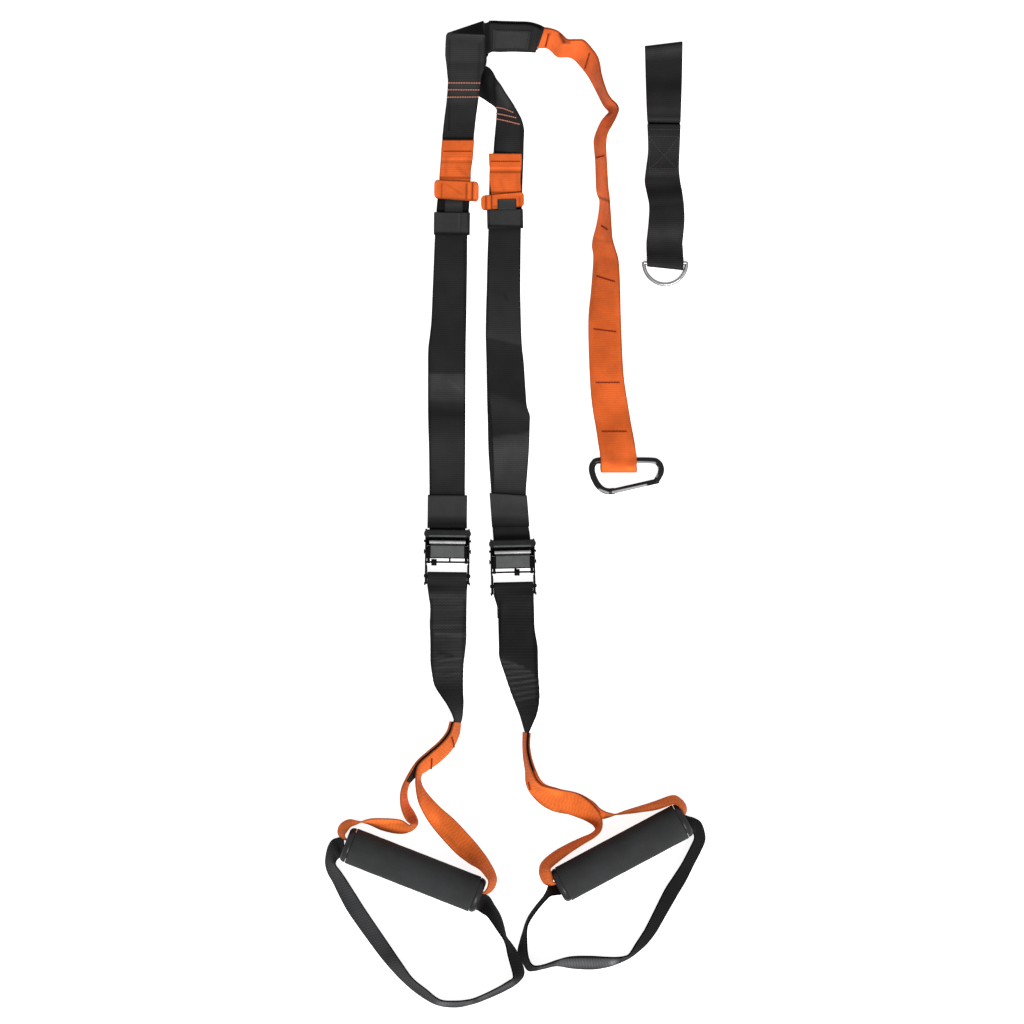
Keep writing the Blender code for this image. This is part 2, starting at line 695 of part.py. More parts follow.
def tab_and_keepers(side, parent):
    """The orange tab on the tail's end, its orange keeper and the black sleeve below it."""
    across = Vector((1, -side.lean, 0)).normalized()
    up = Vector((0, 0, 1))
    top = side.tab_top
    skew = side.tab_skew
    middle = ABOVE_TAIL + THICKNESS / 2
    keeper_low, keeper_high = side.keeper_v
    loop_low, loop_high = side.loop_v
    end = loop_low + 2.0
    tab = ((top, 17.0, skew), (top - 20.0, 17.0, skew * 0.6), (keeper_high + 2.0, 17.0, skew * 0.3),
           (keeper_high - 0.5, 16.4, 0.0), (keeper_high - 1.0, 11.0, 0.0), (end, 11.0, 0.0))
    stations = [Station(on_side(side, u, v, middle), across, up, half) for v, half, u in tab]
    ribbon(f"{side.name}_adjust_tab", stations, ORANGE_WEBBING, parent)
    wall = 1.2
    half = SLEEVE_INNER_HALF
    bulge = 4.5
    inner = [-half, SLEEVE_WALL, half, ABOVE_TAIL + THICKNESS + FIT_GAP]
    inner[2 if side.bulge > 0 else 0] += bulge * side.bulge
    outer = (inner[0] - wall, 0.0, inner[2] + wall, inner[3] + wall)
    keeper = f"{side.name}_tab_keeper"
    sleeve(keeper, side, keeper_low, keeper_high, inner, outer, ORANGE_WEBBING, parent, 1.0)
    over_tongue = ABOVE_TAIL + THICKNESS + FIT_GAP
    inner = (-half, SLEEVE_WALL, half, over_tongue)
    outer = (-half - SLEEVE_WALL, 0.0, half + SLEEVE_WALL, over_tongue + SLEEVE_WALL)
    sleeve(f"{side.name}_keeper_sleeve", side, loop_low, loop_high, inner, outer, BLACK_WEBBING, parent)


def side_plate_outline():
    """One side plate in v and z: full height round the cam, lower at the bottom bar."""
    top = 12.4
    foot = 9.4
    return [
        (-39.5, 1.6), (-3.0, 0.6), (-2.0, 0.0), (16.8, 0.0), (18.4, 1.6), (18.4, 6.6), (16.6, 8.6),
        (6.6, 8.6), (4.6, 10.6), (2.0, top), (-20.0, top), (-24.0, 11.4), (-28.0, foot),
        (-38.5, foot), (-41.4, 7.4), (-41.4, 3.4),
    ]


def upright_slab(name, side, loops, u0, u1, kind=None, parent=None):
    """An outline in v and z, drawn out across the strap from u0 to u1."""
    obj = outline(name, loops, abs(u1 - u0), kind or BLACK_PAINT)
    # the outline's x runs along v, its y up, and its depth along u
    turn = Matrix(((0, 0, 1, 0), (1, 0, 0, 0), (0, 1, 0, 0), (0, 0, 0, 1)))
    place = Matrix.Translation(on_side(side, (u0 + u1) / 2, 0) * MM)
    obj.matrix_world = place @ Matrix.Rotation(side_turn(side), 4, "Z") @ turn
    bpy.context.view_layer.update()
    if parent is not None:
        keep_under(obj, parent)
    return obj


def joined(obj, others):
    """Unions solids into the first one and keeps the others only as cutters."""
    for other in others:
        bpy.data.collections["suspension_trainer"].objects.unlink(other)
        bpy.data.collections["cutters"].objects.link(other)
        other.hide_render = True
        other.display_type = "WIRE"
        boolean(obj, other, "UNION")
    return obj


def buckle_frame(side, parent):
    holes = (
        circle(BOTTOM_BAR_V, BOTTOM_BAR_Z, BOTTOM_BAR_R + FIT_GAP, 14),
        circle(CAM_PIN_V, CAM_PIN_Z, CAM_PIN_R + FIT_GAP),
        circle(STRAP_BAR_V, STRAP_BAR_Z, STRAP_BAR_R + FIT_GAP),
    )
    loops = (side_plate_outline(), *holes)
    name = f"{side.name}_buckle_frame"
    near = as_mesh(upright_slab(name, side, loops, -PLATE_OUTER, -PLATE_INNER, parent=parent))
    far = as_mesh(upright_slab(f"{side.name}_far_plate", side, loops, PLATE_INNER, PLATE_OUTER))
    near.data.materials.clear()
    near.data.materials.append(material(BLACK_PAINT))
    floor_low, floor_high = -1.0, 15.0
    floor_width = PLATE_INNER + PLATE_OUTER
    floor_mesh = block_mesh("floor", (floor_width, floor_high - floor_low, SLEEVE_WALL))
    place = Matrix.Translation(on_side(side, 0, (floor_low + floor_high) / 2, SLEEVE_WALL / 2) * MM)
    floor = bpy.data.objects.new(f"{side.name}_floor_plate", floor_mesh)
    bpy.data.collections["suspension_trainer"].objects.link(floor)
    floor.matrix_world = place @ Matrix.Rotation(side_turn(side), 4, "Z")
    joined(near, (floor, far))


def cross_bars(side, parent):
    across = Vector((1, -side.lean, 0)).normalized()
    head = PLATE_OUTER + FIT_GAP
    bars = (
        ("buckle_strap_bar", STRAP_BAR_V, STRAP_BAR_Z, STRAP_BAR_R, 2.4, BLACK_PAINT),
        ("buckle_bottom_bar", BOTTOM_BAR_V, BOTTOM_BAR_Z, BOTTOM_BAR_R, 3.0, BLACK_PAINT),
        ("buckle_cam_pin", CAM_PIN_V, CAM_PIN_Z, CAM_PIN_R, 2.2, BRIGHT_STEEL),
    )
    for name, v, z, radius, head_radius, kind in bars:
        profile = ((0, head + 1.0), (head_radius, head + 1.0), (head_radius, head), (radius, head),
                   (radius, -head), (head_radius, -head), (head_radius, -head - 1.0), (0, -head - 1.0))
        turned(f"{side.name}_{name}", profile, kind, parent, on_side(side, 0, v, z), across, False, 12)
    loops = (rounded_box(7.2, 9.0, 16.8, 12.8, 1.8),)
    upright_slab(f"{side.name}_buckle_top_bar", side, loops, -PLATE_OUTER, PLATE_OUTER, BLACK_PAINT, parent)


def cam_lever(side, buckle, pivot):
    """The thumb plate with its rolled lip and cam nose, and two ears that turn on the cam pin."""
    body = [
        (-12.4, 8.5), (-0.5, 8.5), (0.2, 6.4), (3.4, 6.4), (4.4, 8.0), (4.6, 11.0), (3.6, 12.4), (1.6, 12.4),
        (0.4, 11.0), (-0.8, 10.2), (-12.4, 10.2),
    ]
    ear = []
    for k in range(9):
        angle = math.radians(90 + 180 * k / 8)
        ear.append((CAM_PIN_V + 2.9 * math.cos(angle), CAM_PIN_Z + 2.9 * math.sin(angle)))
    ear += [(-12.0, 7.4), (-2.0, 7.8), (-2.0, 11.2), (-12.0, 11.6)]
    hole = circle(CAM_PIN_V, CAM_PIN_Z, CAM_PIN_R + FIT_GAP)
    name = f"{side.name}_buckle_cam_lever"
    plate = as_mesh(upright_slab(name, side, (body,), -LEVER_HALF, LEVER_HALF, BLACK_PAINT, pivot))
    plate.data.materials.clear()
    plate.data.materials.append(material(BLACK_PAINT))
    ears = []
    inner, outer = LEVER_EAR
    for k, (u0, u1) in enumerate(((-outer, -inner), (inner, outer))):
        ears.append(as_mesh(upright_slab(f"{side.name}_lever_ear_{k}", side, (ear, hole), u0, u1)))
    joined(plate, ears)
    coil = []
    turns, each, pitch, radius = 4, 9, 1.25, 2.9
    for k in range(turns * each + 1):
        angle = 2 * math.pi * k / each
        u = SPRING_U[side.name] + pitch * k / each
        v = CAM_PIN_V + radius * math.cos(angle)
        coil.append(on_side(side, u, v, CAM_PIN_Z + radius * math.sin(angle)))
    wire(f"{side.name}_buckle_cam_spring", coil, 0.45, BRIGHT_STEEL, buckle, 1)


RISER_ROUTE = {
    "left": (
        Spot(-70.3, -128.0, -4, 0.4, 0, 0.96),
        Spot(-69.6, -155.0, -20, 0.4, 0, 0.92),
        Spot(-67.3, -180.0, -35, 0.4, 0, 0.84),
        Spot(-64.0, -200.0, -58, 0.4, 0, 0.72),
        Spot(-62.2, -213.0, -74, 0.4, 0, 0.64),
    ),
    "right": (
        Spot(2.0, -133.0, 3, 0.4, 0, 0.98),
        Spot(5.0, -160.0, 12, 0.4, 0, 0.97),
        Spot(8.9, -186.0, 36, 0.4, 0, 0.90),
        Spot(11.8, -207.0, 50, 0.4, 0, 0.78),
        Spot(12.6, -222.0, 76, 0.4, 0, 0.66),
    ),
}
JOINT_FACTOR = 0.61
JOINT_ROUTE = {
    "left": (
        Spot(-62.4, -219.0, -74),
        Spot(-65.2, -231.5, -68),
        Spot(-73.5, -244.5, -60),
        Spot(-86.0, -256.0, -58),
        Spot(-98.0, -265.5, -64),
    ),
    "right": (
        Spot(12.3, -230.0, 83),
        Spot(11.8, -243.0, 84),
        Spot(13.0, -256.0, 81),
        Spot(16.2, -270.0, 75),
        Spot(21.5, -283.5, 60),
    ),
}
# Legs of the yoke from the sewn joint to the two ends of the handle
LEG_ROUTE = {
    ("left", -1): (
        Spot(-109.0, -277.0, -76, 0.5), Spot(-115.0, -291.0, -76, 0.5), Spot(-114.5, -305.0, -72, 1.0),
        Spot(-109.0, -317.0, -66, 2.0), Spot(-104.0, -325.5, -76, 2.5), Spot(-110.0, -331.0, -72, 3.0),
        Spot(-121.0, -329.5, -52, 4.0), Spot(-136.5, -327.0, -56, 5.0), Spot(-152.0, -324.0, -74, 6.0),
    ),
    ("left", 1): (
        Spot(-102.0, -275.0, -78, 0.5), Spot(-101.5, -287.0, -76, 0.5), Spot(-96.0, -301.0, -60, 0.5),
        Spot(-84.5, -317.0, -42, 0.5), Spot(-70.5, -331.5, -24, 0.8), Spot(-55.5, -347.5, -24, 2.0),
        Spot(-41.5, -361.5, -44, 4.5), Spot(-32.5, -370.0, -62, 6.0),
    ),
    ("right", -1): (
        Spot(30.5, -295.5, 46), Spot(44.0, -302.0, 18), Spot(61.0, -306.0, 18), Spot(76.0, -313.0, 38, 0.5),
        Spot(86.5, -322.5, 60, 1.5), Spot(88.5, -332.0, 78, 3.0), Spot(82.5, -339.0, 84, 4.5),
        Spot(71.0, -345.0, 82, 5.5), Spot(56.5, -353.0, 75, 6.0), Spot(43.5, -361.5, 69, 6.6),
    ),
    ("right", 1): (
        Spot(30.5, -295.5, 46), Spot(44.0, -302.0, 18), Spot(61.0, -306.0, 18), Spot(76.0, -310.5, 36, 0.5),
        Spot(89.0, -315.5, 62, 1.5), Spot(103.0, -316.5, 84, 3.0), Spot(117.0, -313.8, 97, 4.5),
        Spot(133.5, -310.4, 104, 5.8), Spot(149.0, -306.6, 110, 7.0),
    ),
}
# Turns of the yoke over each end of the handle, as (out along the axis, towards the yoke, roll)
END_TURN = {
    ("left", -1): ((1.0, 24.2, -96), (7.2, 20.8, -106), (10.8, 14.6, -112), (11.4, 8.4, -112),
                   (9.4, 3.0, -106), (4.2, 0.2, -96)),
    ("left", 1): ((2.6, 26.6, -66), (7.8, 21.8, -70), (9.6, 15.4, -72), (9.2, 9.2, -75),
                  (6.8, 3.2, -80), (2.4, 0.3, -86)),
    ("right", -1): ((2.8, 25.8, 66), (7.4, 20.8, 62), (8.8, 14.8, 61), (8.8, 9.2, 64),
                    (7.0, 3.6, 74), (2.6, 0.3, 84)),
    ("right", 1): ((-0.2, 23.8, 108), (4.6, 18.6, 105), (6.2, 12.2, 104), (5.6, 6.0, 101),
                   (2.4, 1.0, 96)),
}
YOKE_STACK = THICKNESS + 0.55
YOKE_STACK_FREE = THICKNESS / 2 + 0.25


def at_grip_end(side, end, out, up):
    """The plan position beside an end of the handle: out along its axis, up towards the yoke."""
    axis = Vector((math.cos(side.grip_angle), math.sin(side.grip_angle)))
    towards_yoke = Vector((-axis.y, axis.x))
    centre = Vector((side.grip_x, side.grip_y))
    return centre + axis * end * (GRIP_LENGTH / 2 + out) + towards_yoke * up


def grip_spot(side, end, out, up, roll, width):
    """A spot whose middle is as high as the handle's axis."""
    place = at_grip_end(side, end, out, up)
    turn = math.radians(roll)
    drop = abs(math.sin(turn)) * width / 2 + abs(math.cos(turn)) * THICKNESS / 2
    return Spot(place.x, place.y, roll, GRIP_AXIS_Z - drop)


def raised(spots, stack):
    """Spots lifted so that the layer below, a stack away along the normal, still clears the floor."""
    return [s._replace(lift=s.lift + 0.3 + stack * abs(math.cos(math.radians(s.roll)))) for s in spots]


def riser_strap(side, parent):
    """Webbing folded round the buckle's bottom bar, then twisted on edge into the yoke's joint."""
    across = Vector((1, -side.lean, 0)).normalized()
    reach = BOTTOM_BAR_R + RISER_BIGHT_GAP + THICKNESS / 2
    low = 1.2
    path = [(0, -66.0, low), (0, BOTTOM_BAR_V - 10.0, low), (0, BOTTOM_BAR_V - 2.0, BOTTOM_BAR_Z - reach)]
    for k in range(1, 7):
        angle = math.pi * k / 6
        path.append((0, BOTTOM_BAR_V + reach * math.sin(angle), BOTTOM_BAR_Z - reach * math.cos(angle)))
    over = low + THICKNESS + FIT_GAP
    path += [(0, BOTTOM_BAR_V - 8.0, BOTTOM_BAR_Z + reach - 1.2), (0, -52.0, over + 0.4), (0, -68.0, over)]
    stations = beside(side, path, across, RISER_WIDTH)
    start = on_side(side, 0, -80.0)
    spots = [Spot(start.x, start.y, 0, 2.2)] + list(RISER_ROUTE[side.name])
    for spot in raised(JOINT_ROUTE[side.name][:-1], YOKE_STACK):
        spots.append(spot._replace(lift=spot.lift + 0.2, wide=JOINT_FACTOR))
    stations += laid(spots, RISER_WIDTH)
    ribbon(f"{side.name}_riser_strap", stations, BLACK_WEBBING, parent)


def yoke_leg(side, end, stack):
    """Spots from the sewn joint to the middle of the handle's tube."""
    spin = -90 if side.name == "left" else 90
    spots = [s._replace(stack=stack) for s in raised(JOINT_ROUTE[side.name], YOKE_STACK)]
    free = math.copysign(YOKE_STACK_FREE, stack)
    spots += [s._replace(stack=free) for s in raised(LEG_ROUTE[(side.name, end)], YOKE_STACK_FREE)]
    for out, up, roll in END_TURN[(side.name, end)]:
        spots.append(grip_spot(side, end, out, up, roll, YOKE_WIDTH))
    spots += [grip_spot(side, end, out, 0.0, spin, YOKE_WIDTH) for out in (-4.0, -14.0)]
    return spots


def yoke_webbing(side, parent):
    """One length of webbing: down one leg, through the tube and up the other leg."""
    front = 1 if side.name == "left" else -1
    rear_leg = yoke_leg(side, -front, -YOKE_STACK)
    front_leg = yoke_leg(side, front, YOKE_STACK)
    first = laid(rear_leg, YOKE_WIDTH)
    second = [s._replace(normal=-s.normal) for s in reversed(laid(front_leg, YOKE_WIDTH))]
    across = first[-1].across
    if second[0].across.dot(across) < 0:
        second = [s._replace(across=-s.across) for s in second]
    ribbon(f"{side.name}_yoke_webbing", first + second, ORANGE_WEBBING, parent)


def handle(side, parent):
    """Foam grip on a tube, with a flanged cap plugged into each end."""
    axis = (math.cos(side.grip_angle), math.sin(side.grip_angle), 0)
    centre = Vector((side.grip_x, side.grip_y, GRIP_AXIS_Z))
    half = GRIP_LENGTH / 2 - CAP_FLANGE - 0.3
    round_off = 2.2
    foam = ((FOAM_BORE_R, half), (FOAM_R - round_off, half), (FOAM_R, half - round_off),
            (FOAM_R, round_off - half), (FOAM_R - round_off, -half), (FOAM_BORE_R, -half))
    turned(f"{side.name}_grip_foam", foam, GRIP_FOAM, parent, centre, axis, True, 24)
    tube = ((TUBE_BORE_R, half), (TUBE_R, half), (TUBE_R, -half), (TUBE_BORE_R, -half))
    turned(f"{side.name}_grip_tube", tube, CAP_PLASTIC, parent, centre, axis, True, 24)
    for name, end in (("inner", side.bulge), ("outer", -side.bulge)):
        place = centre + Vector(axis) * end * (GRIP_LENGTH / 2)
        outwards = Vector(axis) * end
        deep = -CAP_FLANGE - CAP_PLUG_LENGTH
        cap = ((CAP_BORE_R, 0), (CAP_FLANGE_R - 0.8, 0), (CAP_FLANGE_R, -0.8), (CAP_FLANGE_R, -CAP_FLANGE),
               (CAP_PLUG_R, -CAP_FLANGE), (CAP_PLUG_R, deep), (CAP_BORE_R, deep))
        turned(f"{side.name}_grip_cap_{name}", cap, CAP_PLASTIC, parent, place, outwards, True, 24)


LOOP_ROUTE = {
    "left": (
        Spot(-193.0, -367.0, 58, 4.0), Spot(-186.5, -385.5, 42, 1.0), Spot(-173.0, -405.0, 28, 0.3),
        Spot(-149.5, -440.5, 28, 0.3), Spot(-122.5, -476.5, 46, 0.3), Spot(-100.0, -498.5, 55, 0.3),
        Spot(-80.0, -510.5, 63, 0.3), Spot(-59.0, -513.8, 66, 0.3), Spot(-39.0, -511.3, 66, 0.3),
        Spot(-20.5, -502.3, 66, 0.3), Spot(-6.5, -493.0, 70, 0.3), Spot(-0.8, -487.0, 74, 0.3),
        Spot(-1.0, -479.5, 68, 0.3), Spot(-4.8, -468.5, 60, 0.3), Spot(-9.8, -454.0, 66, 0.3),
        Spot(-14.6, -440.0, 80, 0.8), Spot(-20.0, -426.5, 66, 3.0),
    ),
    "right": (
        Spot(193.2, -341.0, -54, 4.0), Spot(189.5, -353.0, -52, 1.5), Spot(180.5, -368.5, -52, 0.3),
        Spot(163.8, -397.0, -50, 0.3), Spot(150.0, -422.5, -52, 0.3), Spot(135.5, -447.0, -54, 0.3),
        Spot(125.5, -460.5, -66, 0.3), Spot(116.0, -467.5, -70, 0.3), Spot(102.0, -470.5, -60, 0.3),
        Spot(81.0, -472.0, -50, 0.3), Spot(59.0, -470.5, -52, 0.3), Spot(42.0, -471.5, -68, 0.3),
        Spot(27.5, -474.5, -74, 0.3), Spot(17.0, -475.0, -76, 0.3), Spot(12.2, -469.5, -68, 0.3),
        Spot(11.6, -459.5, -62, 0.3), Spot(11.6, -448.5, -68, 0.3), Spot(12.5, -437.5, -80, 0.5),
        Spot(16.5, -426.0, -82, 1.0), Spot(26.0, -412.0, -80, 4.0),
    ),
}
# Ends of the foot loops on the outside of the yoke's turns, as (out along the axis, towards the yoke)
LOOP_END = {
    ("left", -1): ((17.8, 5.6), (17.8, -2.0), (16.0, -10.0)),
    ("left", 1): ((16.0, 5.6), (15.8, -2.0), (14.4, -10.0)),
    ("right", -1): ((17.2, 5.6), (17.0, -2.0)),
    ("right", 1): ((12.0, 5.6), (12.4, -2.0), (11.4, -10.0)),
}


def foot_loop(side, parent):
    """The cradle strap, sewn to the outside of the yoke's turn at each end of the handle."""
    spin = 90 if side.name == "left" else -90
    first_end = -1 if side.name == "left" else 1
    first = LOOP_END[(side.name, first_end)]
    last = LOOP_END[(side.name, -first_end)]
    spots = [grip_spot(side, first_end, out, up, spin, LOOP_WIDTH) for out, up in first]
    spots += LOOP_ROUTE[side.name]
    spots += [grip_spot(side, -first_end, out, up, spin, LOOP_WIDTH) for out, up in reversed(last)]
    ribbon(f"{side.name}_foot_loop", laid(spots, LOOP_WIDTH), BLACK_WEBBING, parent)


def build_side(side, root):
    main_strap(side, root)
    turn = side_turn(side)
    buckle = empty(f"{side.name}_buckle_slide", on_side(side, 0, 0), root, turn)
    tab = empty(f"{side.name}_tab_slide", on_side(side, 0, side.tab_top), buckle, turn)
    lever = empty(f"{side.name}_lever_pivot", on_side(side, 0, CAM_PIN_V, CAM_PIN_Z), buckle, turn)
    riser = empty(f"{side.name}_riser_pivot", on_side(side, 0, BOTTOM_BAR_V, BOTTOM_BAR_Z), buckle)
    centre = (side.grip_x, side.grip_y, GRIP_AXIS_Z)
    grip = empty(f"{side.name}_grip_axis", centre, riser, side.grip_angle)
    swing = empty(f"{side.name}_loop_axis", centre, riser, side.grip_angle)
    tail_strap(side, buckle)
    tab_and_keepers(side, tab)
    low, high = side.sleeve_v
    half = SLEEVE_INNER_HALF
    inner = (-half, SLEEVE_WALL, half, ABOVE_TAIL)
    outer = (-half - SLEEVE_WALL, 0.0, half + SLEEVE_WALL, ABOVE_TAIL + SLEEVE_WALL)
    sleeve(f"{side.name}_buckle_sleeve", side, low, high, inner, outer, BLACK_WEBBING, buckle)
    buckle_frame(side, buckle)
    cross_bars(side, buckle)
    cam_lever(side, buckle, lever)
    riser_strap(side, riser)
    yoke_webbing(side, riser)
    handle(side, grip)
    foot_loop(side, swing)


def build():
    start_scene()
    root = empty("suspension_trainer_root", (0, 0, 0))
    anchor_end(root)
    carabiner(root)
    anchor_strap(root)
    for side in SIDES:
        build_side(side, root)
    for obj in bpy.data.objects:
        if obj.parent is None and obj is not root:
            keep_under(obj, root)
    root.location = LAYOUT_SHIFT * MM


build()
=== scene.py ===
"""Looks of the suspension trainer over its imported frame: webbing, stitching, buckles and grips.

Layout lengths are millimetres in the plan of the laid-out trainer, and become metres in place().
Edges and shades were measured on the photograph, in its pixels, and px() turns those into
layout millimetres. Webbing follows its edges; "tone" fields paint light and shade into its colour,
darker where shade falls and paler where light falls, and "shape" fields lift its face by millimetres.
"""

import math
from collections import namedtuple

import bmesh
import bpy
from mathutils import Matrix, Vector, noise


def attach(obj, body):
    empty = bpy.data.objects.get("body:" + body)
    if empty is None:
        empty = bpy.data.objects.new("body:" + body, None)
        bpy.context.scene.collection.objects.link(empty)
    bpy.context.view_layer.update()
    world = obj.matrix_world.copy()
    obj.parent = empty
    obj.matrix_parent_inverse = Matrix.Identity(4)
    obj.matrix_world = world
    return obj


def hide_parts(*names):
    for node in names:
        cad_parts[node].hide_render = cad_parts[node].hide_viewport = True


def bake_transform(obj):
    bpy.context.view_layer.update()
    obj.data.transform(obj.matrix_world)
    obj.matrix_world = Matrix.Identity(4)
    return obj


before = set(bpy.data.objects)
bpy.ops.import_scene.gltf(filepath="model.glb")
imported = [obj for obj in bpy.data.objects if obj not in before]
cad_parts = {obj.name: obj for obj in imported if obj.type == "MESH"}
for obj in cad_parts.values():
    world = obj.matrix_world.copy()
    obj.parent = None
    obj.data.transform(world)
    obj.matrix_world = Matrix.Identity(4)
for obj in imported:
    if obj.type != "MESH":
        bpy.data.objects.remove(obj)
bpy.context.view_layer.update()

MM = 0.001
PX_MM = 1.05
PHOTO_X, PHOTO_Y = 515.0, 513.0
LAYOUT_SHIFT = Vector((-0.37, -0.20, 0.0))

STRAP_WIDTH = 37.0
RISER_WIDTH = 40.0
ANCHOR_STRAP_WIDTH = 38.5
BAND_WIDTH = 38.0
LEAD_WIDTH = 38.0
YOKE_WIDTH = 25.0
LOOP_WIDTH = 20.0
THICKNESS = 1.6
FIT_GAP = 0.4

# Heights of the layers inside the sliding sleeves
SLEEVE_WALL = 1.0
MAIN_LIFT = SLEEVE_WALL + FIT_GAP
TAIL_LIFT = MAIN_LIFT + THICKNESS + FIT_GAP
ABOVE_TAIL = TAIL_LIFT + THICKNESS + FIT_GAP
SLEEVE_INNER_HALF = STRAP_WIDTH / 2 + 0.6

# Buckle, in its own frame: u across the strap, v along it towards the anchor, z up
PLATE_INNER = 21.6
PLATE_THICKNESS = 1.8
PLATE_OUTER = PLATE_INNER + PLATE_THICKNESS
STRAP_BAR_V = -7.0
STRAP_BAR_Z = 4.1
STRAP_BAR_R = 1.4
CAM_PIN_V = -17.9
CAM_PIN_Z = 9.0
CAM_PIN_R = 1.1
BOTTOM_BAR_V = -32.5
BOTTOM_BAR_Z = 4.9
BOTTOM_BAR_R = 2.0
RISER_BIGHT_GAP = 0.7
LEVER_HALF = 17.6

# Handle
GRIP_LENGTH = 146.0
CAP_FLANGE = 3.0
CAP_FLANGE_R = 19.4
GRIP_AXIS_Z = CAP_FLANGE_R
FOAM_SHOWN_R = 19.4
CAP_PLUG_R = 14.2
CAP_BORE_R = 13.3
CAP_PLUG_LENGTH = 12.0
FOAM_BORE_R = 16.1

# Carabiner and D-ring
CARABINER_ROD_R = 3.3
CARABINER_BAR_Y = 55.1
CARABINER_BAR_Z = 5.4
D_RING_ROD_R = 2.0
D_RING_R = 22.5
D_RING_CENTRE = (157.6, 262.5)
D_RING_BAR_Z = 4.0

# One side of the trainer: the buckle's place and lean, the ends along it of the buckle's sleeve, the orange
# keeper and the black loop, which way along the grip its inner end lies, and the grip's place and angle
SIDE_FIELDS = "name x y lean sleeve_v inward keeper_v loop_v grip_x grip_y grip_angle"
Side = namedtuple("Side", SIDE_FIELDS)
LEFT = Side("left", -70.8, -33.6, 0.012, (17.5, 52.5), 1, (362.0, 382.0), (325.5, 349.0),
            -106.8, -373.6, math.radians(-21.4))
RIGHT = Side("right", -2.4, -44.1, -0.0225, (29.5, 64.0), -1, (363.6, 379.0), (342.6, 362.6),
             112.0, -355.5, math.radians(28.1))

# A spot on a strap's route: plan position, roll about the route in degrees (0 lies flat, 90 stands on
# edge), height of its lowest edge, offset along its own normal, and a factor on its width
Spot = namedtuple("Spot", "x y roll lift stack wide", defaults=(0.0, 0.0, 0.0, 1.0))
# A cross-section of a strap: centre, direction across it, normal of its upper face, half its width
Station = namedtuple("Station", "centre across normal half")


# Node materials


class Shader:
    """A Principled material and short names for the nodes that drive it."""

    def __init__(self, name, colour, roughness, specular=0.25, metallic=0.0, sheen=0.0):
        self.material = bpy.data.materials.new(name)
        self.material.use_nodes = True
        self.nodes = self.material.node_tree.nodes
        self.links = self.material.node_tree.links
        self.base = self.nodes["Principled BSDF"]
        self.base.inputs["Base Color"].default_value = (*colour, 1.0)
        self.base.inputs["Roughness"].default_value = roughness
        self.base.inputs["Metallic"].default_value = metallic
        self.base.inputs["Specular IOR Level"].default_value = specular
        self.base.inputs["Sheen Weight"].default_value = sheen

    def feed(self, socket, value):
        if isinstance(value, bpy.types.NodeSocket):
            self.links.new(value, socket)
        else:
            socket.default_value = value

    def math(self, operation, a, b=0.0):
        node = self.nodes.new("ShaderNodeMath")
        node.operation = operation
        self.feed(node.inputs[0], a)
        self.feed(node.inputs[1], b)
        return node.outputs[0]

    def times(self, *factors):
        """The product of two or more values."""
        made = factors[0]
        for factor in factors[1:]:
            made = self.math("MULTIPLY", made, factor)
        return made

    def mix(self, factor, a, b):
        node = self.nodes.new("ShaderNodeMix")
        node.data_type = "RGBA"
        self.feed(node.inputs["Factor"], factor)
        for socket, value in ((node.inputs[6], a), (node.inputs[7], b)):
            self.feed(socket, value if isinstance(value, bpy.types.NodeSocket) else (*value, 1.0))
        return node.outputs[2]

    def ramp(self, value, low, high, out_low=0.0, out_high=1.0):
        node = self.nodes.new("ShaderNodeMapRange")
        node.interpolation_type = "SMOOTHSTEP"
        for index, number in enumerate((value, low, high, out_low, out_high)):
            self.feed(node.inputs[index], number)
        return node.outputs[0]

    def noise(self, scale, detail=2.0, roughness=0.5):
        node = self.nodes.new("ShaderNodeTexNoise")
        node.inputs["Scale"].default_value = scale
        node.inputs["Detail"].default_value = detail
        node.inputs["Roughness"].default_value = roughness
        self.links.new(self.nodes.new("ShaderNodeTexCoord").outputs["Object"], node.inputs["Vector"])
        return node.outputs["Fac"]

    def attribute(self, name):
        node = self.nodes.new("ShaderNodeAttribute")
        node.attribute_name = name
        return node.outputs["Fac"]

    def weave_space(self):
        """Millimetres across and along the webbing, from its UV map."""
        node = self.nodes.new("ShaderNodeUVMap")
        node.uv_map = "weave"
        split = self.nodes.new("ShaderNodeSeparateXYZ")
        self.links.new(node.outputs["UV"], split.inputs[0])
        return self.times(split.outputs[0], 1000.0), self.times(split.outputs[1], 1000.0)

    def wave(self, position, pitch):
        """A sine of one period per pitch, from 0 to 1."""
        turn = self.times(position, 2 * math.pi / pitch)
        return self.times(self.math("ADD", self.math("SINE", turn), 1.0), 0.5)

    def tinted(self, colour, factor):
        """The colour times a factor."""
        node = self.nodes.new("ShaderNodeVectorMath")
        node.operation = "SCALE"
        self.feed(node.inputs[0], colour if isinstance(colour, bpy.types.NodeSocket) else tuple(colour))
        self.feed(node.inputs["Scale"], factor)
        return node.outputs[0]

    def bump(self, height, distance):
        node = self.nodes.new("ShaderNodeBump")
        node.inputs["Strength"].default_value = 1.0
        node.inputs["Distance"].default_value = distance * MM
        self.links.new(height, node.inputs["Height"])
        self.links.new(node.outputs[0], self.base.inputs["Normal"])

    def paint(self, colour):
        self.links.new(colour, self.base.inputs["Base Color"])


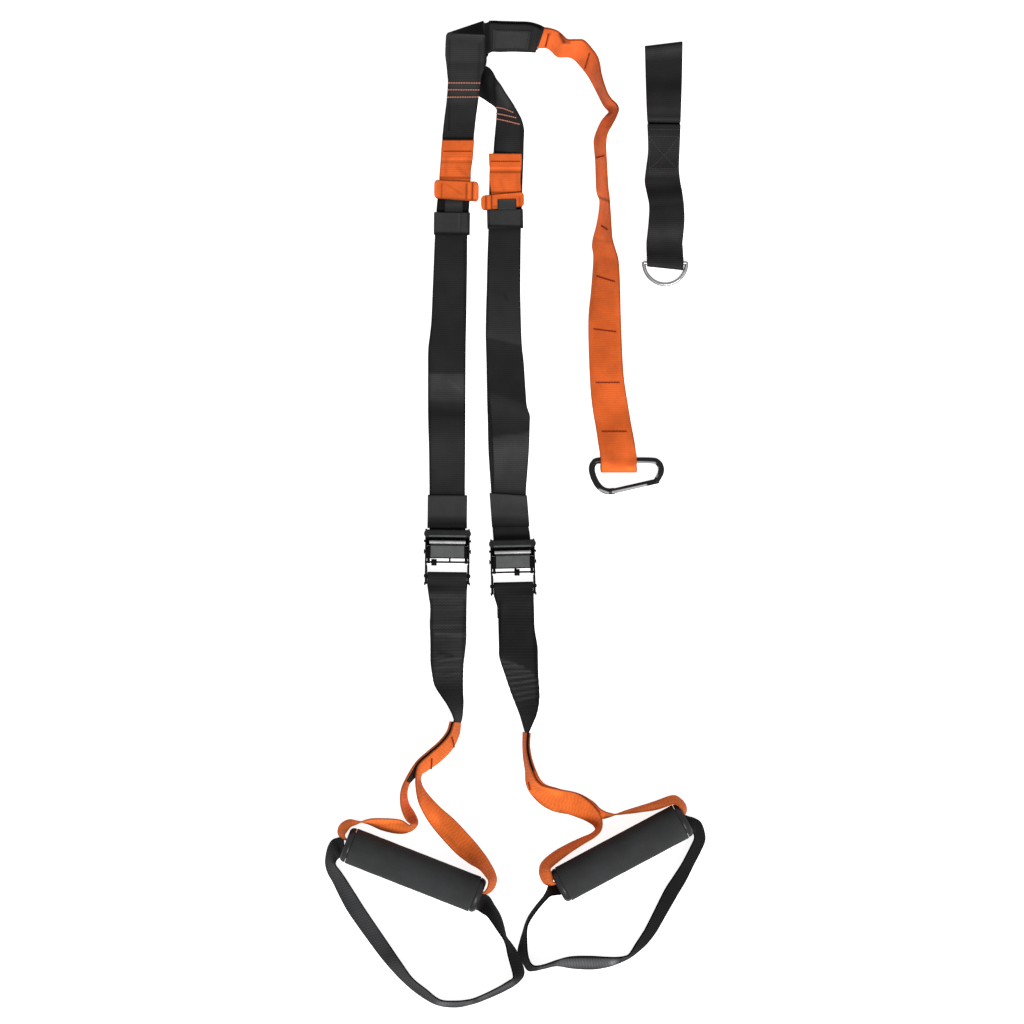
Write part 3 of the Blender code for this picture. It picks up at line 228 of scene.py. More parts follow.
def webbing(name, colour, rib, yarn, depth, groove_shade, edge_shade=0.45):
    """Woven webbing: ribs across it, yarns along it, a little uneven dye, painted shade between the ribs
    and along the selvedges, and the painted light and shade of its tone attribute.

    rib and yarn are their pitches, depth the height of the relief, groove how dark the painted shade
    between ribs is, and edge_shade how dark the painted shade along the selvedges is.
    """
    specular = 0.08
    made = Shader(name, colour, 0.75, specular, sheen=0.05)
    across, along = made.weave_space()
    half_rib = made.times(made.math("SINE", made.times(across, math.pi / yarn)), rib * 0.18)
    ribs = made.wave(made.math("ADD", along, half_rib), rib)
    fine = made.wave(along, rib / 3)
    weave = made.times(made.wave(across, yarn), fine)
    height = made.math("ADD", made.times(ribs, 0.65), made.times(weave, 0.35))
    grime = made.noise(55.0, 3.0)
    fuzz = made.noise(1400.0, 2.0)
    # The tone attribute is painted light and shade: darker where shade falls, paler where light falls
    tone = made.attribute("tone")
    # Painted shade in the weave: darker where its relief is low, between the ribs
    relief = made.ramp(height, 0.0, 0.75, groove_shade, 1.0)
    uneven = made.ramp(grime, 0.3, 0.7, 0.90, 1.10)
    worn_and_highlit = made.ramp(fuzz, 0.25, 0.75, 0.90, 1.08)
    # Painted shade along the selvedges
    painted_edge_shade = made.ramp(made.attribute("edge"), 0.1, 1.5, edge_shade, 1.0)
    made.paint(made.tinted(colour, made.times(relief, uneven, worn_and_highlit, painted_edge_shade, tone)))
    # Where the tone attribute paints shade, it dims the reflection too
    gleam = made.times(made.math("MINIMUM", tone, 1.0), specular)
    made.links.new(gleam, made.base.inputs["Specular IOR Level"])
    made.bump(made.math("ADD", height, made.times(fuzz, 0.35)), depth)
    return made.material


def thread(name, colour):
    made = Shader(name, colour, 0.7, 0.08)
    twist = made.noise(2600.0, 1.0)
    made.paint(made.tinted(colour, made.ramp(twist, 0.3, 0.7, 0.75, 1.15)))
    made.bump(twist, 0.08)
    return made.material


def metal(name, colour, roughness, scratch=0.12, specular=0.5, metallic=1.0, wear=None):
    """Metal or paint with fine handling marks, and paler marks: rubbed paint and painted highlights."""
    made = Shader(name, colour, roughness, specular, metallic)
    marks = made.noise(420.0, 4.0, roughness=0.65)
    blotch = made.noise(90.0, 3.0)
    rough = made.ramp(marks, 0.3, 0.75, max(roughness - scratch, 0.04), roughness + scratch)
    made.links.new(rough, made.base.inputs["Roughness"])
    # Random blotches in the colour
    tone = made.ramp(blotch, 0.25, 0.75, 0.86, 1.12)
    painted = made.tinted(colour, tone)
    if wear is not None:
        # Paler where the wear attribute is set: rubbed paint, and the carabiner's painted highlights
        rub_and_highlight = made.times(made.attribute("wear"), made.ramp(marks, 0.1, 0.6, 0.75, 1.0))
        painted = made.mix(rub_and_highlight, painted, wear)
    made.paint(painted)
    made.bump(marks, 0.02)
    return made.material


def foam_rubber(name, colour):
    """Closed-cell foam: a fine open grain, pressed smooth in places."""
    made = Shader(name, colour, 0.82, 0.10, sheen=0.05)
    cells = made.noise(2300.0, 3.0, roughness=0.6)
    patches = made.noise(38.0, 2.0)
    shade = made.times(made.ramp(cells, 0.3, 0.7, 0.80, 1.15), made.ramp(patches, 0.3, 0.7, 0.90, 1.10))
    made.paint(made.tinted(colour, shade))
    made.bump(cells, 0.16)
    return made.material


def plastic(name, colour, roughness):
    made = Shader(name, colour, roughness, 0.22)
    grain = made.noise(900.0, 2.0)
    made.paint(made.tinted(colour, made.ramp(made.noise(60.0, 2.0), 0.3, 0.7, 0.85, 1.15)))
    rough = made.ramp(grain, 0.3, 0.7, roughness - 0.08, roughness + 0.1)
    made.links.new(rough, made.base.inputs["Roughness"])
    made.bump(grain, 0.03)
    return made.material


# Linear colours of the dyes, yarns, paints and metals
BLACK = (0.0190, 0.0190, 0.0196)
ORANGE = (0.78, 0.136, 0.026)
YOKE_ORANGE = (0.80, 0.162, 0.030)
BLACK_WEBBING = webbing("black webbing", BLACK, 2.2, 1.9, 0.16, 0.70)
RIBBED_BLACK = webbing("ribbed black webbing", BLACK, 3.2, 2.1, 0.20, 0.66)
LOOP_BLACK = webbing("foot loop webbing", (0.030, 0.0305, 0.032), 3.0, 2.4, 0.22, 0.62, edge_shade=0.30)
SLEEVE_BLACK = webbing("elastic sleeve", (0.040, 0.0405, 0.041), 1.7, 1.1, 0.14, 0.75, edge_shade=0.30)
ORANGE_WEBBING = webbing("orange webbing", ORANGE, 2.4, 1.8, 0.14, 0.90, edge_shade=0.62)
RIBBED_ORANGE = webbing("ribbed orange webbing", YOKE_ORANGE, 3.7, 5.0, 0.16, 0.86, edge_shade=0.50)
DARK_THREAD = thread("dark thread", (0.018, 0.017, 0.018))
GREY_THREAD = thread("grey thread", (0.075, 0.074, 0.074))
BROWN_THREAD = thread("brown thread", (0.27, 0.034, 0.016))
COPPER_THREAD = thread("copper thread", (0.56, 0.23, 0.16))
BUCKLE_PAINT = metal("buckle paint", (0.009, 0.0095, 0.010), 0.42, 0.10, 0.16, 0.0, wear=(0.36, 0.36, 0.35))
LEVER_PAINT = metal("lever paint", (0.090, 0.092, 0.093), 0.50, 0.10, 0.25, 0.0, wear=(0.42, 0.42, 0.41))
RING_STEEL = metal("ring steel", (0.30, 0.30, 0.31), 0.30, 0.10)
# A darker copy of the buckle paint for the side plates, the lever's ears and its hub: painted shade
PAINT_DARKENED_FOR_SHADE = metal("shaded paint", (0.004, 0.004, 0.004), 0.60, 0.10, 0.05, 0.0)
BRIGHT_STEEL = metal("bright steel", (0.66, 0.66, 0.67), 0.24, 0.10)
# A paler grey for the lever's lip
LIP_METAL = metal("worn lever lip", (0.34, 0.34, 0.34), 0.40, 0.12, 0.5, 0.3)
# Its paler colour paints the highlights on the carabiner
BLACK_ANODISED = metal("black anodised", (0.007, 0.007, 0.008), 0.30, 0.08, 0.16, 0.0,
                       wear=(0.34, 0.34, 0.36))
GRIP_FOAM = foam_rubber("grip foam", (0.036, 0.037, 0.038))
CAP_PLASTIC = plastic("cap plastic", (0.018, 0.018, 0.020), 0.34)


# Straps


def smooth(spots, steps):
    """Catmull-Rom through the spots, with steps intervals between neighbours."""
    line = []
    for i in range(len(spots) - 1):
        before = spots[max(i - 1, 0)]
        after = spots[min(i + 2, len(spots) - 1)]
        for step in range(steps):
            t = step / steps
            values = []
            for a, b, c, d in zip(before, spots[i], spots[i + 1], after):
                bend = 2 * a - 5 * b + 4 * c - d
                swing = -a + 3 * b - 3 * c + d
                values.append(0.5 * (2 * b + (c - a) * t + bend * t * t + swing * t ** 3))
            line.append(Spot(*values))
    line.append(spots[-1])
    return line


def laid(spots, width, steps=8, thickness=THICKNESS):
    """Stations of a strap whose lowest edge is at each spot's lift above the floor."""
    line = smooth(spots, steps)
    points = []
    for spot in line:
        half = width * spot.wide / 2
        roll = math.radians(spot.roll)
        height = spot.lift + abs(math.sin(roll)) * half + abs(math.cos(roll)) * thickness / 2
        points.append(Vector((spot.x, spot.y, height)))
    stations = []
    for i, spot in enumerate(line):
        along = points[min(i + 1, len(points) - 1)] - points[max(i - 1, 0)]
        along.normalize()
        level = Vector((0, 0, 1)).cross(along).normalized()
        raised_side = along.cross(level)
        roll = math.radians(spot.roll)
        across = level * math.cos(roll) + raised_side * math.sin(roll)
        normal = along.cross(across)
        centre = points[i] + normal * spot.stack
        stations.append(Station(centre, across, normal, width * spot.wide / 2))
    return stations


def moved(station, distance):
    return station._replace(centre=station.centre + station.normal * distance)


def fold(station, radius, steps=10):
    """Stations of a half turn past the end of a strap, from above the station to below it."""
    along = station.across.cross(station.normal)
    turn = []
    for step in range(1, steps):
        angle = math.pi * step / steps
        out = station.normal * math.cos(angle) + along * math.sin(angle)
        turn.append(station._replace(centre=station.centre + out * radius, normal=out))
    return turn


def doubled(stations, spreads):
    """Two plies of one strap, each spread away from the stations, joined by a fold at the last one."""
    upper = [moved(s, d) for s, d in zip(stations, spreads)]
    lower = [moved(s, -d)._replace(normal=-s.normal) for s, d in zip(stations, spreads)]
    return upper + fold(stations[-1], spreads[-1]) + lower[::-1]


def between_edges(pairs, steps=8):
    """Stations of a strap from both its edges, each a point of the middle of its thickness."""
    wests = smooth([Spot(*west) for west, _ in pairs], steps)
    easts = smooth([Spot(*east) for _, east in pairs], steps)
    middles = [(Vector(w[:3]) + Vector(e[:3])) / 2 for w, e in zip(wests, easts)]
    stations = []
    for i, centre in enumerate(middles):
        span = Vector(easts[i][:3]) - Vector(wests[i][:3])
        along = middles[min(i + 1, len(middles) - 1)] - middles[max(i - 1, 0)]
        stations.append(Station(centre, span.normalized(), along.cross(span).normalized(), span.length / 2))
    return stations


def place(point):
    """Layout millimetres to the frame's metres."""
    return (Vector(point) + LAYOUT_SHIFT) * MM


def px(x, y):
    """A point measured in the photograph, as layout millimetres."""
    return (x - PHOTO_X) * PX_MM, (PHOTO_Y - y) * PX_MM


def in_photo(point):
    """Where a layout point lies in the photograph."""
    return point.x / PX_MM + PHOTO_X, PHOTO_Y - point.y / PX_MM


def photo_lines(pairs):
    """Layout lines from pairs of points measured in the photograph."""
    return [(px(*a), px(*b)) for a, b in pairs]


def round_trip(points):
    """Pairs of neighbouring points, the last with the first."""
    return list(zip(points, points[1:] + points[:1]))


def bridge(bm, rings, closed=False):
    """Faces between neighbouring rings, with flat ends unless the last ring meets the first."""
    pairs = list(zip(rings, rings[1:]))
    if closed:
        pairs.append((rings[-1], rings[0]))
    for a, b in pairs:
        for k in range(len(a)):
            n = (k + 1) % len(a)
            bm.faces.new((a[k], a[n], b[n], b[k]))
    if not closed:
        bm.faces.new(rings[0][::-1])
        bm.faces.new(rings[-1])


def finished(bm, name, material, ease=40.0):
    """An object from a bmesh, shaded smooth but sharp where faces turn by more than ease degrees."""
    bmesh.ops.recalc_face_normals(bm, faces=bm.faces)
    mesh = bpy.data.meshes.new(name)
    bm.to_mesh(mesh)
    bm.free()
    mesh.materials.append(material)
    mesh.shade_smooth()
    mesh.set_sharp_from_angle(angle=math.radians(ease))
    obj = bpy.data.objects.new(name, mesh)
    bpy.context.scene.collection.objects.link(obj)
    return obj


def profile(columns):
    """The cross-section of webbing: (side, height) from -1 to 1, with rounded selvedges."""
    top = [(-1 + 2 * k / columns) * 0.965 for k in range(columns + 1)]
    points = [(p, 1.0) for p in top]
    points += [(0.992, 0.72), (1.0, 0.0), (0.992, -0.72)]
    points += [(p, -1.0) for p in reversed(top)]
    points += [(-0.992, -0.72), (-1.0, 0.0), (-0.992, 0.72)]
    return points


def soft_step(t):
    t = min(max(t, 0.0), 1.0)
    return t * t * (3 - 2 * t)


def closeness(x, y, x0, y0, x1, y1, width):
    """1 on the line between two points, falling softly to 0 at width from it."""
    run_x, run_y = x1 - x0, y1 - y0
    size = max(run_x ** 2 + run_y ** 2, 1e-9)
    t = min(max(((x - x0) * run_x + (y - y0) * run_y) / size, 0.0), 1.0)
    return soft_step(1.0 - math.hypot(x - x0 - run_x * t, y - y0 - run_y * t) / width)


# A field gives a value at a point of the photograph. A stroke of one is (x0, y0, x1, y1, width, value).


def stroked(*strokes, start=1.0):
    """A field that each stroke multiplies by its value."""
    def field(x, y):
        value = start
        for *line, width, amount in strokes:
            value = value * (1.0 + (amount - 1.0) * closeness(x, y, *line, width))
        return value
    return field


def added(*strokes):
    """A field that each stroke adds its value to, from 0."""
    def field(x, y):
        value = 0.0
        for *line, width, amount in strokes:
            value = value + amount * closeness(x, y, *line, width)
        return value
    return field


def banded(x0, x1, *rows):
    """A field that changes down a strap from x0 to x1: rows of (y at its left, y at its right, value)."""
    def field(x, y):
        f = (x - x0) / (x1 - x0)
        levels = [(left + (right - left) * f, value) for left, right, value in rows]
        if y <= levels[0][0]:
            return levels[0][1]
        for (near, first), (far, second) in zip(levels, levels[1:]):
            if y <= far:
                return first + (second - first) * soft_step((y - near) / max(far - near, 1e-6))
        return levels[-1][1]
    return field


def product(*fields):
    def field(x, y):
        value = 1.0
        for each in fields:
            value *= each(x, y)
        return value
    return field


def total(*fields):
    return lambda x, y: sum(each(x, y) for each in fields)


def ribbed(first, last, pitch, height, slant=0.0):
    """Small cross ribs of uneven strength between two heights of the photograph."""
    def field(x, y):
        drift = noise.noise(Vector((x * 0.05, y * 0.045, 3.0)))
        line = y + slant * x + 2.2 * drift
        strength = 0.65 + 0.7 * noise.noise(Vector((x * 0.03, y * 0.10, 9.0)))
        fade = soft_step((y - first) / 6.0) * soft_step((last - y) / 6.0)
        return height * fade * strength * math.sin(2 * math.pi * line / pitch)
    return field


# No painted light or shade: the colour as it is
def no_painted_light(x, y):
    return 1.0


def flat_shape(x, y):
    return 0.0


def strap(name, stations, material, thickness=THICKNESS, columns=14, tone=no_painted_light, shape=flat_shape):
    """Webbing as one closed loft with its weave's UV map, its tone attribute and its edge attribute.

    tone and shape are fields over the photograph; tone is painted light and shade on the colour, and
    shape lifts the face by millimetres.
    """
    bm = bmesh.new()
    weave = bm.loops.layers.uv.new("weave")
    painted_light_layer = bm.verts.layers.float.new("tone")
    edges = bm.verts.layers.float.new("edge")
    section = profile(columns)
    rings = []
    lengths = []
    walked = 0.0
    for i, s in enumerate(stations):
        if i:
            walked += (s.centre - stations[i - 1].centre).length
        lengths.append(walked)
        up = 1.0 if s.normal.z >= 0 else -1.0
        ring = []
        for p, q in section:
            side = p * s.half
            at = s.centre + s.across * side + s.normal * (q * thickness / 2)
            x, y = in_photo(at)
            vert = bm.verts.new(place(at + s.normal * (up * shape(x, y))))
            vert[painted_light_layer] = tone(x, y)
            vert[edges] = s.half * (1 - abs(p)) if abs(q) > 0.9 else 0.0
            ring.append(vert)
        rings.append(ring)
    count = len(section)
    for i in range(len(rings) - 1):
        for k in range(count):
            n = (k + 1) % count
            face = bm.faces.new((rings[i][k], rings[i][n], rings[i + 1][n], rings[i + 1][k]))
            spots = ((i, k), (i, n), (i + 1, n), (i + 1, k))
            for loop, (row, column) in zip(face.loops, spots):
                side = section[column][0] * stations[row].half + STRAP_WIDTH / 2
                loop[weave].uv = (side * MM, lengths[row] * MM)
    for row in (0, len(rings) - 1):
        face = bm.faces.new(rings[row])
        for loop, (p, q) in zip(face.loops, section):
            loop[weave].uv = ((p * stations[row].half + STRAP_WIDTH / 2) * MM, (lengths[row] + q) * MM)
    return finished(bm, name, material, 60.0)


def lay(node=None):
    """Hides the CAD node that a laid strap stands for, when one is given."""
    if node:
        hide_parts(node)


# Stitches


def find(stations, x, y, first=0.0, last=1.0):
    """Where a plan point lies on a strap: (station number with a fraction, distance across)."""
    best = None
    low = int(first * (len(stations) - 1))
    high = int(last * (len(stations) - 1))
    target = Vector((x, y))
    for i in range(low, high):
        a, b = stations[i], stations[i + 1]
        for f in (0.0, 0.5):
            centre = a.centre.lerp(b.centre, f)
            across = a.across.lerp(b.across, f)
            flat = Vector((across.x, across.y))
            span = max(flat.length_squared, 0.02)
            side = (target - centre.xy).dot(flat) / span
            side = max(-a.half, min(a.half, side))
            miss = (target - centre.xy - flat * side).length
            if best is None or miss < best[0]:
                best = (miss, i + f, side)
    return best[1], best[2]


def on_face(stations, number, side, above):
    """A point of a strap's face, by station number and distance across, and the normal there."""
    i = min(int(number), len(stations) - 2)
    f = number - i
    a, b = stations[i], stations[i + 1]
    normal = a.normal.lerp(b.normal, f).normalized()
    across = a.across.lerp(b.across, f)
    return a.centre.lerp(b.centre, f) + across * side + normal * above, normal


def stitch(bm, start, end, normal, radius):
    """One stitch: a thread that rises out of the webbing and goes back in.

    Its rows are (share of its length, height and thickness in radii).
    """
    run = end - start
    length = run.length
    if length < 1e-6:
        return
    forward = run / length
    sideways = forward.cross(normal).normalized()
    rings = []
    rows = ((0.0, -0.5, 0.5), (0.12, 0.35, 0.9), (0.5, 0.75, 1.0), (0.88, 0.35, 0.9), (1.0, -0.5, 0.5))
    for t, rise, fat in rows:
        centre = start + run * t + normal * rise * radius
        ring = []
        for k in range(6):
            angle = 2 * math.pi * k / 6
            out = sideways * math.cos(angle) + normal * math.sin(angle)
            ring.append(bm.verts.new(place(centre + out * radius * fat)))
        rings.append(ring)
    bridge(bm, rings)


def seam(bm, stations, a, b, above, pitch=3.0, radius=0.32, fill=0.78, zigzag=0.0, first=0.0, last=1.0):
    """A row of stitches on a strap's face between two plan points."""
    start = find(stations, *a, first, last)
    end = find(stations, *b, first, last)
    first_point, _ = on_face(stations, *start, above)
    last_point, _ = on_face(stations, *end, above)
    count = max(1, round((last_point - first_point).length / pitch))
    for k in range(count):
        near, far = k / count, (k + fill) / count
        sway = zigzag if k % 2 else -zigzag
        ends = []
        for t, shift in ((near, -sway), (far, sway)):
            number = start[0] + (end[0] - start[0]) * t
            side = start[1] + (end[1] - start[1]) * t
            point, normal = on_face(stations, number, side, above)
            along = stations[int(number)].across.cross(normal)
            ends.append(point + along * shift)
        stitch(bm, ends[0], ends[1], normal, radius)


def seams(name, stations, lines, material, body, above=THICKNESS / 2, **how):
    """Rows of stitches between pairs of plan points, as one piece that rides a body."""
    bm = bmesh.new()
    for a, b in lines:
        seam(bm, stations, a, b, above, **how)
    obj = finished(bm, name, material, 80.0)
    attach(obj, body)
    return obj


# Anchor end


# Half the distance between the plies of the loose strap, and of the lead round the carabiner's bar
PLY_SPREAD = THICKNESS / 2 + 0.2
LOOP_SPREAD = CARABINER_BAR_Z - THICKNESS / 2 - 0.1


def leaned(rows, usual_width, steps=6):
    """Stations of a strap that leans on its low edge.

    Rows are (x and y of the high edge, x and y of the low one, the low edge's height, its width if not
    the usual one). The true width sets how high the other edge stands.
    """
    pairs = []
    for high_x, high_y, low_x, low_y, height, *own in rows:
        width = own[0] if own else usual_width
        high, low = px(high_x, high_y), px(low_x, low_y)
        rise = math.sqrt(max(width ** 2 - math.hypot(high[0] - low[0], high[1] - low[1]) ** 2, 0.0))
        pairs.append(((*low, height), (*high, height + rise)))
    return between_edges(pairs, steps)


def level(rows, height, steps=8):
    """Stations of a flat strap through rows of (y, left edge, right edge) of the photograph."""
    pairs = [((*px(left, y), height), (*px(right, y), height)) for y, left, right in rows]
    return between_edges(pairs, steps)


# The folded band that joins the straps, from west to east, standing on its south edge
BAND_ROWS = (
    (477.5, 24.2, 480.6, 60, 6.6, 36), (481.5, 24, 483.4, 58.8, 6.5, 36), (484.5, 24, 485.2, 57.5, 6.4, 36),
    (488, 24.2, 487.6, 53.5, 6, 36.4), (493, 24.2, 492.5, 51, 5.2, 36.5), (502, 25, 500, 51, 5),
    (516, 25.5, 513, 50.6, 5), (529, 26, 525, 51, 5.2), (538, 28.8, 532, 51.4, 6),
    (543.4, 32, 536.6, 51.6, 6.6),
)
# The orange lead from the band's end down to the carabiner
LEAD_ROWS = (
    (519, 26.5, 516, 48, 7, 28), (533, 28.5, 529, 49, 6.8, 30), (543.5, 30.2, 537.5, 48.6, 7, 32),
    (550, 31.5, 543.5, 48, 5.5, 35), (557, 34, 548.5, 48.8, 3), (562, 38, 552.5, 52.2, 2),
    (567, 42.3, 558, 56.8, 1.9), (576, 42.6, 568, 57, 1.9), (583.5, 43.2, 574, 59.5, 1.9),
    (591, 51, 579.5, 65, 1.8), (596.2, 58.2, 584.5, 71, 1.7), (598.8, 66, 588.5, 76.5, 1.7),
    (600.3, 76, 592.5, 83.5, 1.6), (602.8, 85.5, 596.5, 91, 1.6), (606.2, 95, 600.5, 99, 1.6),
    (610.3, 101.5, 604.5, 106, 1.6), (615.5, 106.5, 608.5, 110.5, 1.6), (617.6, 111.5, 609, 113, 1.6),
    (616, 117.5, 605.5, 117, 1.6), (612, 125.5, 601.8, 121.5, 1.6), (606.8, 135, 597.5, 130.5, 1.6),
    (605.2, 143, 594.5, 140.5, 1.6), (605, 152, 595, 151, 1.6), (605.7, 164, 596, 163, 1.6),
    (606.3, 176, 596.4, 176, 1.6), (607.2, 190, 597.2, 192, 1.6), (608.3, 199, 600, 200, 1.6),
    (609, 208, 600, 206.5, 1.6), (609.8, 220, 598.8, 216, 1.6), (610.6, 232, 596.5, 227.5, 1.6),
    (611.6, 241, 593.5, 238.5, 1.6), (614.6, 251, 592.5, 247, 1.7), (617.8, 263, 593.8, 259, 1.7),
    (619.4, 290, 591.5, 290, 1.7), (620.4, 320, 588.6, 322, 1.7), (623, 373, 589.8, 373, 1.8),
    (628, 406, 592.2, 406, 2.2), (633, 436, 597.4, 436, 4.2), (636, 453, 599.8, 453, 5.4),
    (636.6, 461, 600.3, 461, 5.4), (636.6, 468, 600.6, 468, 5.4),
)
LEAD_THICKNESS = 1.1
# Half the distance between the plies of the lead and of the band
LEAD_PLY = 0.62
BAND_SPREAD = 2.3
# Painted light and shade on the lead: painted shadows at its folds and inside its plies, and paler lit bands
LEAD_PAINTED_LIGHT = stroked(
    (560, 37.5, 563.5, 44, 3.2, 0.3), (563.5, 44.5, 569, 45, 2.6, 0.45), (542, 38, 580, 52, 12, 1.25),
    (549.5, 36, 546, 47, 2.4, 0.72), (592, 66, 586, 78, 4, 1.12), (597, 90, 604, 104, 3, 0.72),
    (602, 118, 611, 114, 2, 0.4), (616, 104, 618, 113, 2.4, 0.5), (598, 126, 611, 130, 3, 0.9),
    (602, 118, 600, 235, 12, 1.55), (596.5, 196, 608.5, 203.5, 2.2, 0.42), (598, 200, 609, 208, 3, 1.15),
    (594.5, 240, 612, 244, 4, 0.85), (598, 130, 596.5, 190, 4, 0.85), (596, 262, 590.5, 318, 4, 0.86),
    (616.5, 290, 620, 372, 4, 1.1), (601, 467, 636, 467, 8, 1.7), (600.5, 473.8, 636.5, 473.8, 1.6, 0.72),
    (598.5, 450, 601, 470, 2, 0.35), (612, 420, 614, 455, 14, 0.88),
)


def lead_spreads(stations):
    """Half the distance between the lead's plies: close together, then open round the carabiner's bar."""
    spreads = []
    for s in stations:
        opened = soft_step((98.0 - s.centre.y) / 38.0)
        spreads.append(LEAD_PLY + (LOOP_SPREAD - LEAD_PLY) * opened)
    return spreads


# Bar tacks across the lead, as (start, end) in the photograph
LEAD_BARS = (
    ((548.4, 35.5), (545.6, 47)), ((589.8, 55), (585, 69)), ((596.5, 158), (604.5, 158)),
    ((601.5, 226.5), (608, 231)), ((597, 277), (615, 283)), ((594, 331), (616.5, 331)),
    ((596, 382.6), (620, 382.6)), ((602, 431), (627, 431)),
)


def lead():
    """The orange lead: two plies that open into the loop round the carabiner's bar."""
    flat = leaned(LEAD_ROWS, LEAD_WIDTH)
    stations = doubled(flat, lead_spreads(flat))
    obj = strap("lead_webbing", stations, ORANGE_WEBBING, LEAD_THICKNESS, 20, LEAD_PAINTED_LIGHT)
    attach(obj, "anchor")
    lay("anchor_lead")
    upper = stations[:len(flat)]
    seams("lead_bars", upper, photo_lines(LEAD_BARS), BROWN_THREAD, "anchor", LEAD_THICKNESS / 2,
          pitch=1.5, radius=0.55, zigzag=0.8)


# Painted light and shade on the band: painted shade at its fold and paler lit strips
BAND_PAINTED_LIGHT = stroked(
    (484, 20, 485.5, 58, 6.5, 0.3), (488.5, 26, 489.5, 50, 3, 0.55), (530, 24, 541, 28, 3, 1.5),
    (536, 30, 533, 50, 3, 1.35),
)
# The bare patch on the band: its ends in the photograph, its half width and how far it sits off the middle
PATCH_X = (493.2, 531.2)
PATCH_HALF = 13.4
PATCH_SHIFT = 1.6
PATCH_SEAM_INSET = 1.6


def band():
    """The band, folded over itself, with its bare patch on the face that shows."""
    flat = leaned(BAND_ROWS, BAND_WIDTH)
    turned = [s._replace(across=-s.across) for s in reversed(flat)]
    folded = doubled(turned, [BAND_SPREAD] * len(turned))
    cover = strap("band_webbing", folded, BLACK_WEBBING, 1.4, 20, BAND_PAINTED_LIGHT)
    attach(cover, "anchor")
    lay("anchor_band")
    west_end, east_end = [px(x, 0)[0] for x in PATCH_X]
    patch = [moved(s, BAND_SPREAD + 1.0) for s in flat if west_end < s.centre.x < east_end]
    patch = [s._replace(centre=s.centre - s.across * PATCH_SHIFT, half=PATCH_HALF) for s in patch]
    label = strap("band_label", patch, SLEEVE_BLACK, 0.6, 12)
    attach(label, "anchor")
    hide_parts("band_patch")
    seam_half = PATCH_HALF - PATCH_SEAM_INSET
    corners = []
    for s, side, shift in ((patch[0], -1, 1), (patch[0], 1, 1), (patch[-1], 1, -1), (patch[-1], -1, -1)):
        spot = s.centre + s.across * side * seam_half
        corners.append((spot.x + shift * PATCH_SEAM_INSET, spot.y))
    seams("label_seam", patch, round_trip(corners), DARK_THREAD, "anchor", 0.3, pitch=2.4, radius=0.30)


# Carabiner


# The bow's middle line, in layout millimetres, from the gate's nose round to its hinge
CARABINER_ROUTE = (
    (104, 23.2), (98, 22.8), (92, 24.6), (87, 29.2), (82.5, 37.5), (80.6, 46), (82.3, 51.8), (88, 55.1),
    (112, 55.1), (142, 55.1), (149.5, 53.2), (153, 48), (152.6, 41.5), (148, 33.2),
)
GATE_NOSE = (104.0, 23.2)
GATE_LOW_Z = 3.5
GATE_R = 2.75
GATE_STEPS = 14


def carabiner_height(y):
    """The bow leans on the webbing's loop: highest at its bar, lowest at the gate's nose."""
    slope = (CARABINER_BAR_Z - GATE_LOW_Z) / (CARABINER_BAR_Y - GATE_NOSE[1])
    return GATE_LOW_Z + (y - GATE_NOSE[1]) * slope


def rod(name, points, radii, material, sides=16, cyclic=False, wear=None):
    """A round rod through layout points, with a radius at each and closed round ends.

    wear is a field over the photograph: how much paler the colour is there; on the carabiner, painted
    highlights.
    """
    bm = bmesh.new()
    worn_and_highlit = bm.verts.layers.float.new("wear")
    count = len(points)
    side = None
    rings = []
    for i, point in enumerate(points):
        if cyclic:
            ahead, behind = points[(i + 1) % count], points[i - 1]
        else:
            ahead, behind = points[min(i + 1, count - 1)], points[max(i - 1, 0)]
        along = (ahead - behind).normalized()
        if side is None:
            side = along.orthogonal().normalized()
        side = (side - along * side.dot(along)).normalized()
        other = along.cross(side)
        ring = []
        for k in range(sides):
            angle = 2 * math.pi * k / sides
            at = point + (side * math.cos(angle) + other * math.sin(angle)) * radii[i]
            vert = bm.verts.new(place(at))
            # The wear layer holds painted highlights on the carabiner
            vert[worn_and_highlit] = wear(*in_photo(at)) if wear else 0.0
            ring.append(vert)
        rings.append(ring)
    bridge(bm, rings, cyclic)
    return finished(bm, name, material, 50.0)


def curve_points(route, steps):
    """Points of a smooth curve through a route, as Spots that carry the height as their lift."""
    spots = [Spot(p[0], p[1], 0.0, p[2]) for p in route]
    return [Vector((s.x, s.y, s.lift)) for s in smooth(spots, steps)]


def rounded_ends(points, radius, steps=4):
    """Points and radii of a rod whose ends are domed."""
    first = (points[0] - points[1]).normalized()
    last = (points[-1] - points[-2]).normalized()
    line, radii = [], []
    for k in range(steps):
        angle = math.pi / 2 * (k + 0.35) / (steps + 0.35)
        line.append(points[0] + first * radius * 0.55 * math.cos(angle))
        radii.append(radius * math.sin(angle))
    line += points
    radii += [radius] * len(points)
    for k in reversed(range(steps)):
        angle = math.pi / 2 * (k + 0.35) / (steps + 0.35)
        line.append(points[-1] + last * radius * 0.55 * math.cos(angle))
        radii.append(radius * math.sin(angle))
    return line, radii


def cut(obj, tool):
    """Takes a throwaway tool out of an object."""
    mod = obj.modifiers.new("cut", "BOOLEAN")
    mod.object = tool
    mod.operation = "DIFFERENCE"
    bpy.context.view_layer.update()
    made = bpy.data.meshes.new_from_object(obj.evaluated_get(bpy.context.evaluated_depsgraph_get()))
    obj.modifiers.clear()
    obj.data = made
    bpy.data.objects.remove(tool)


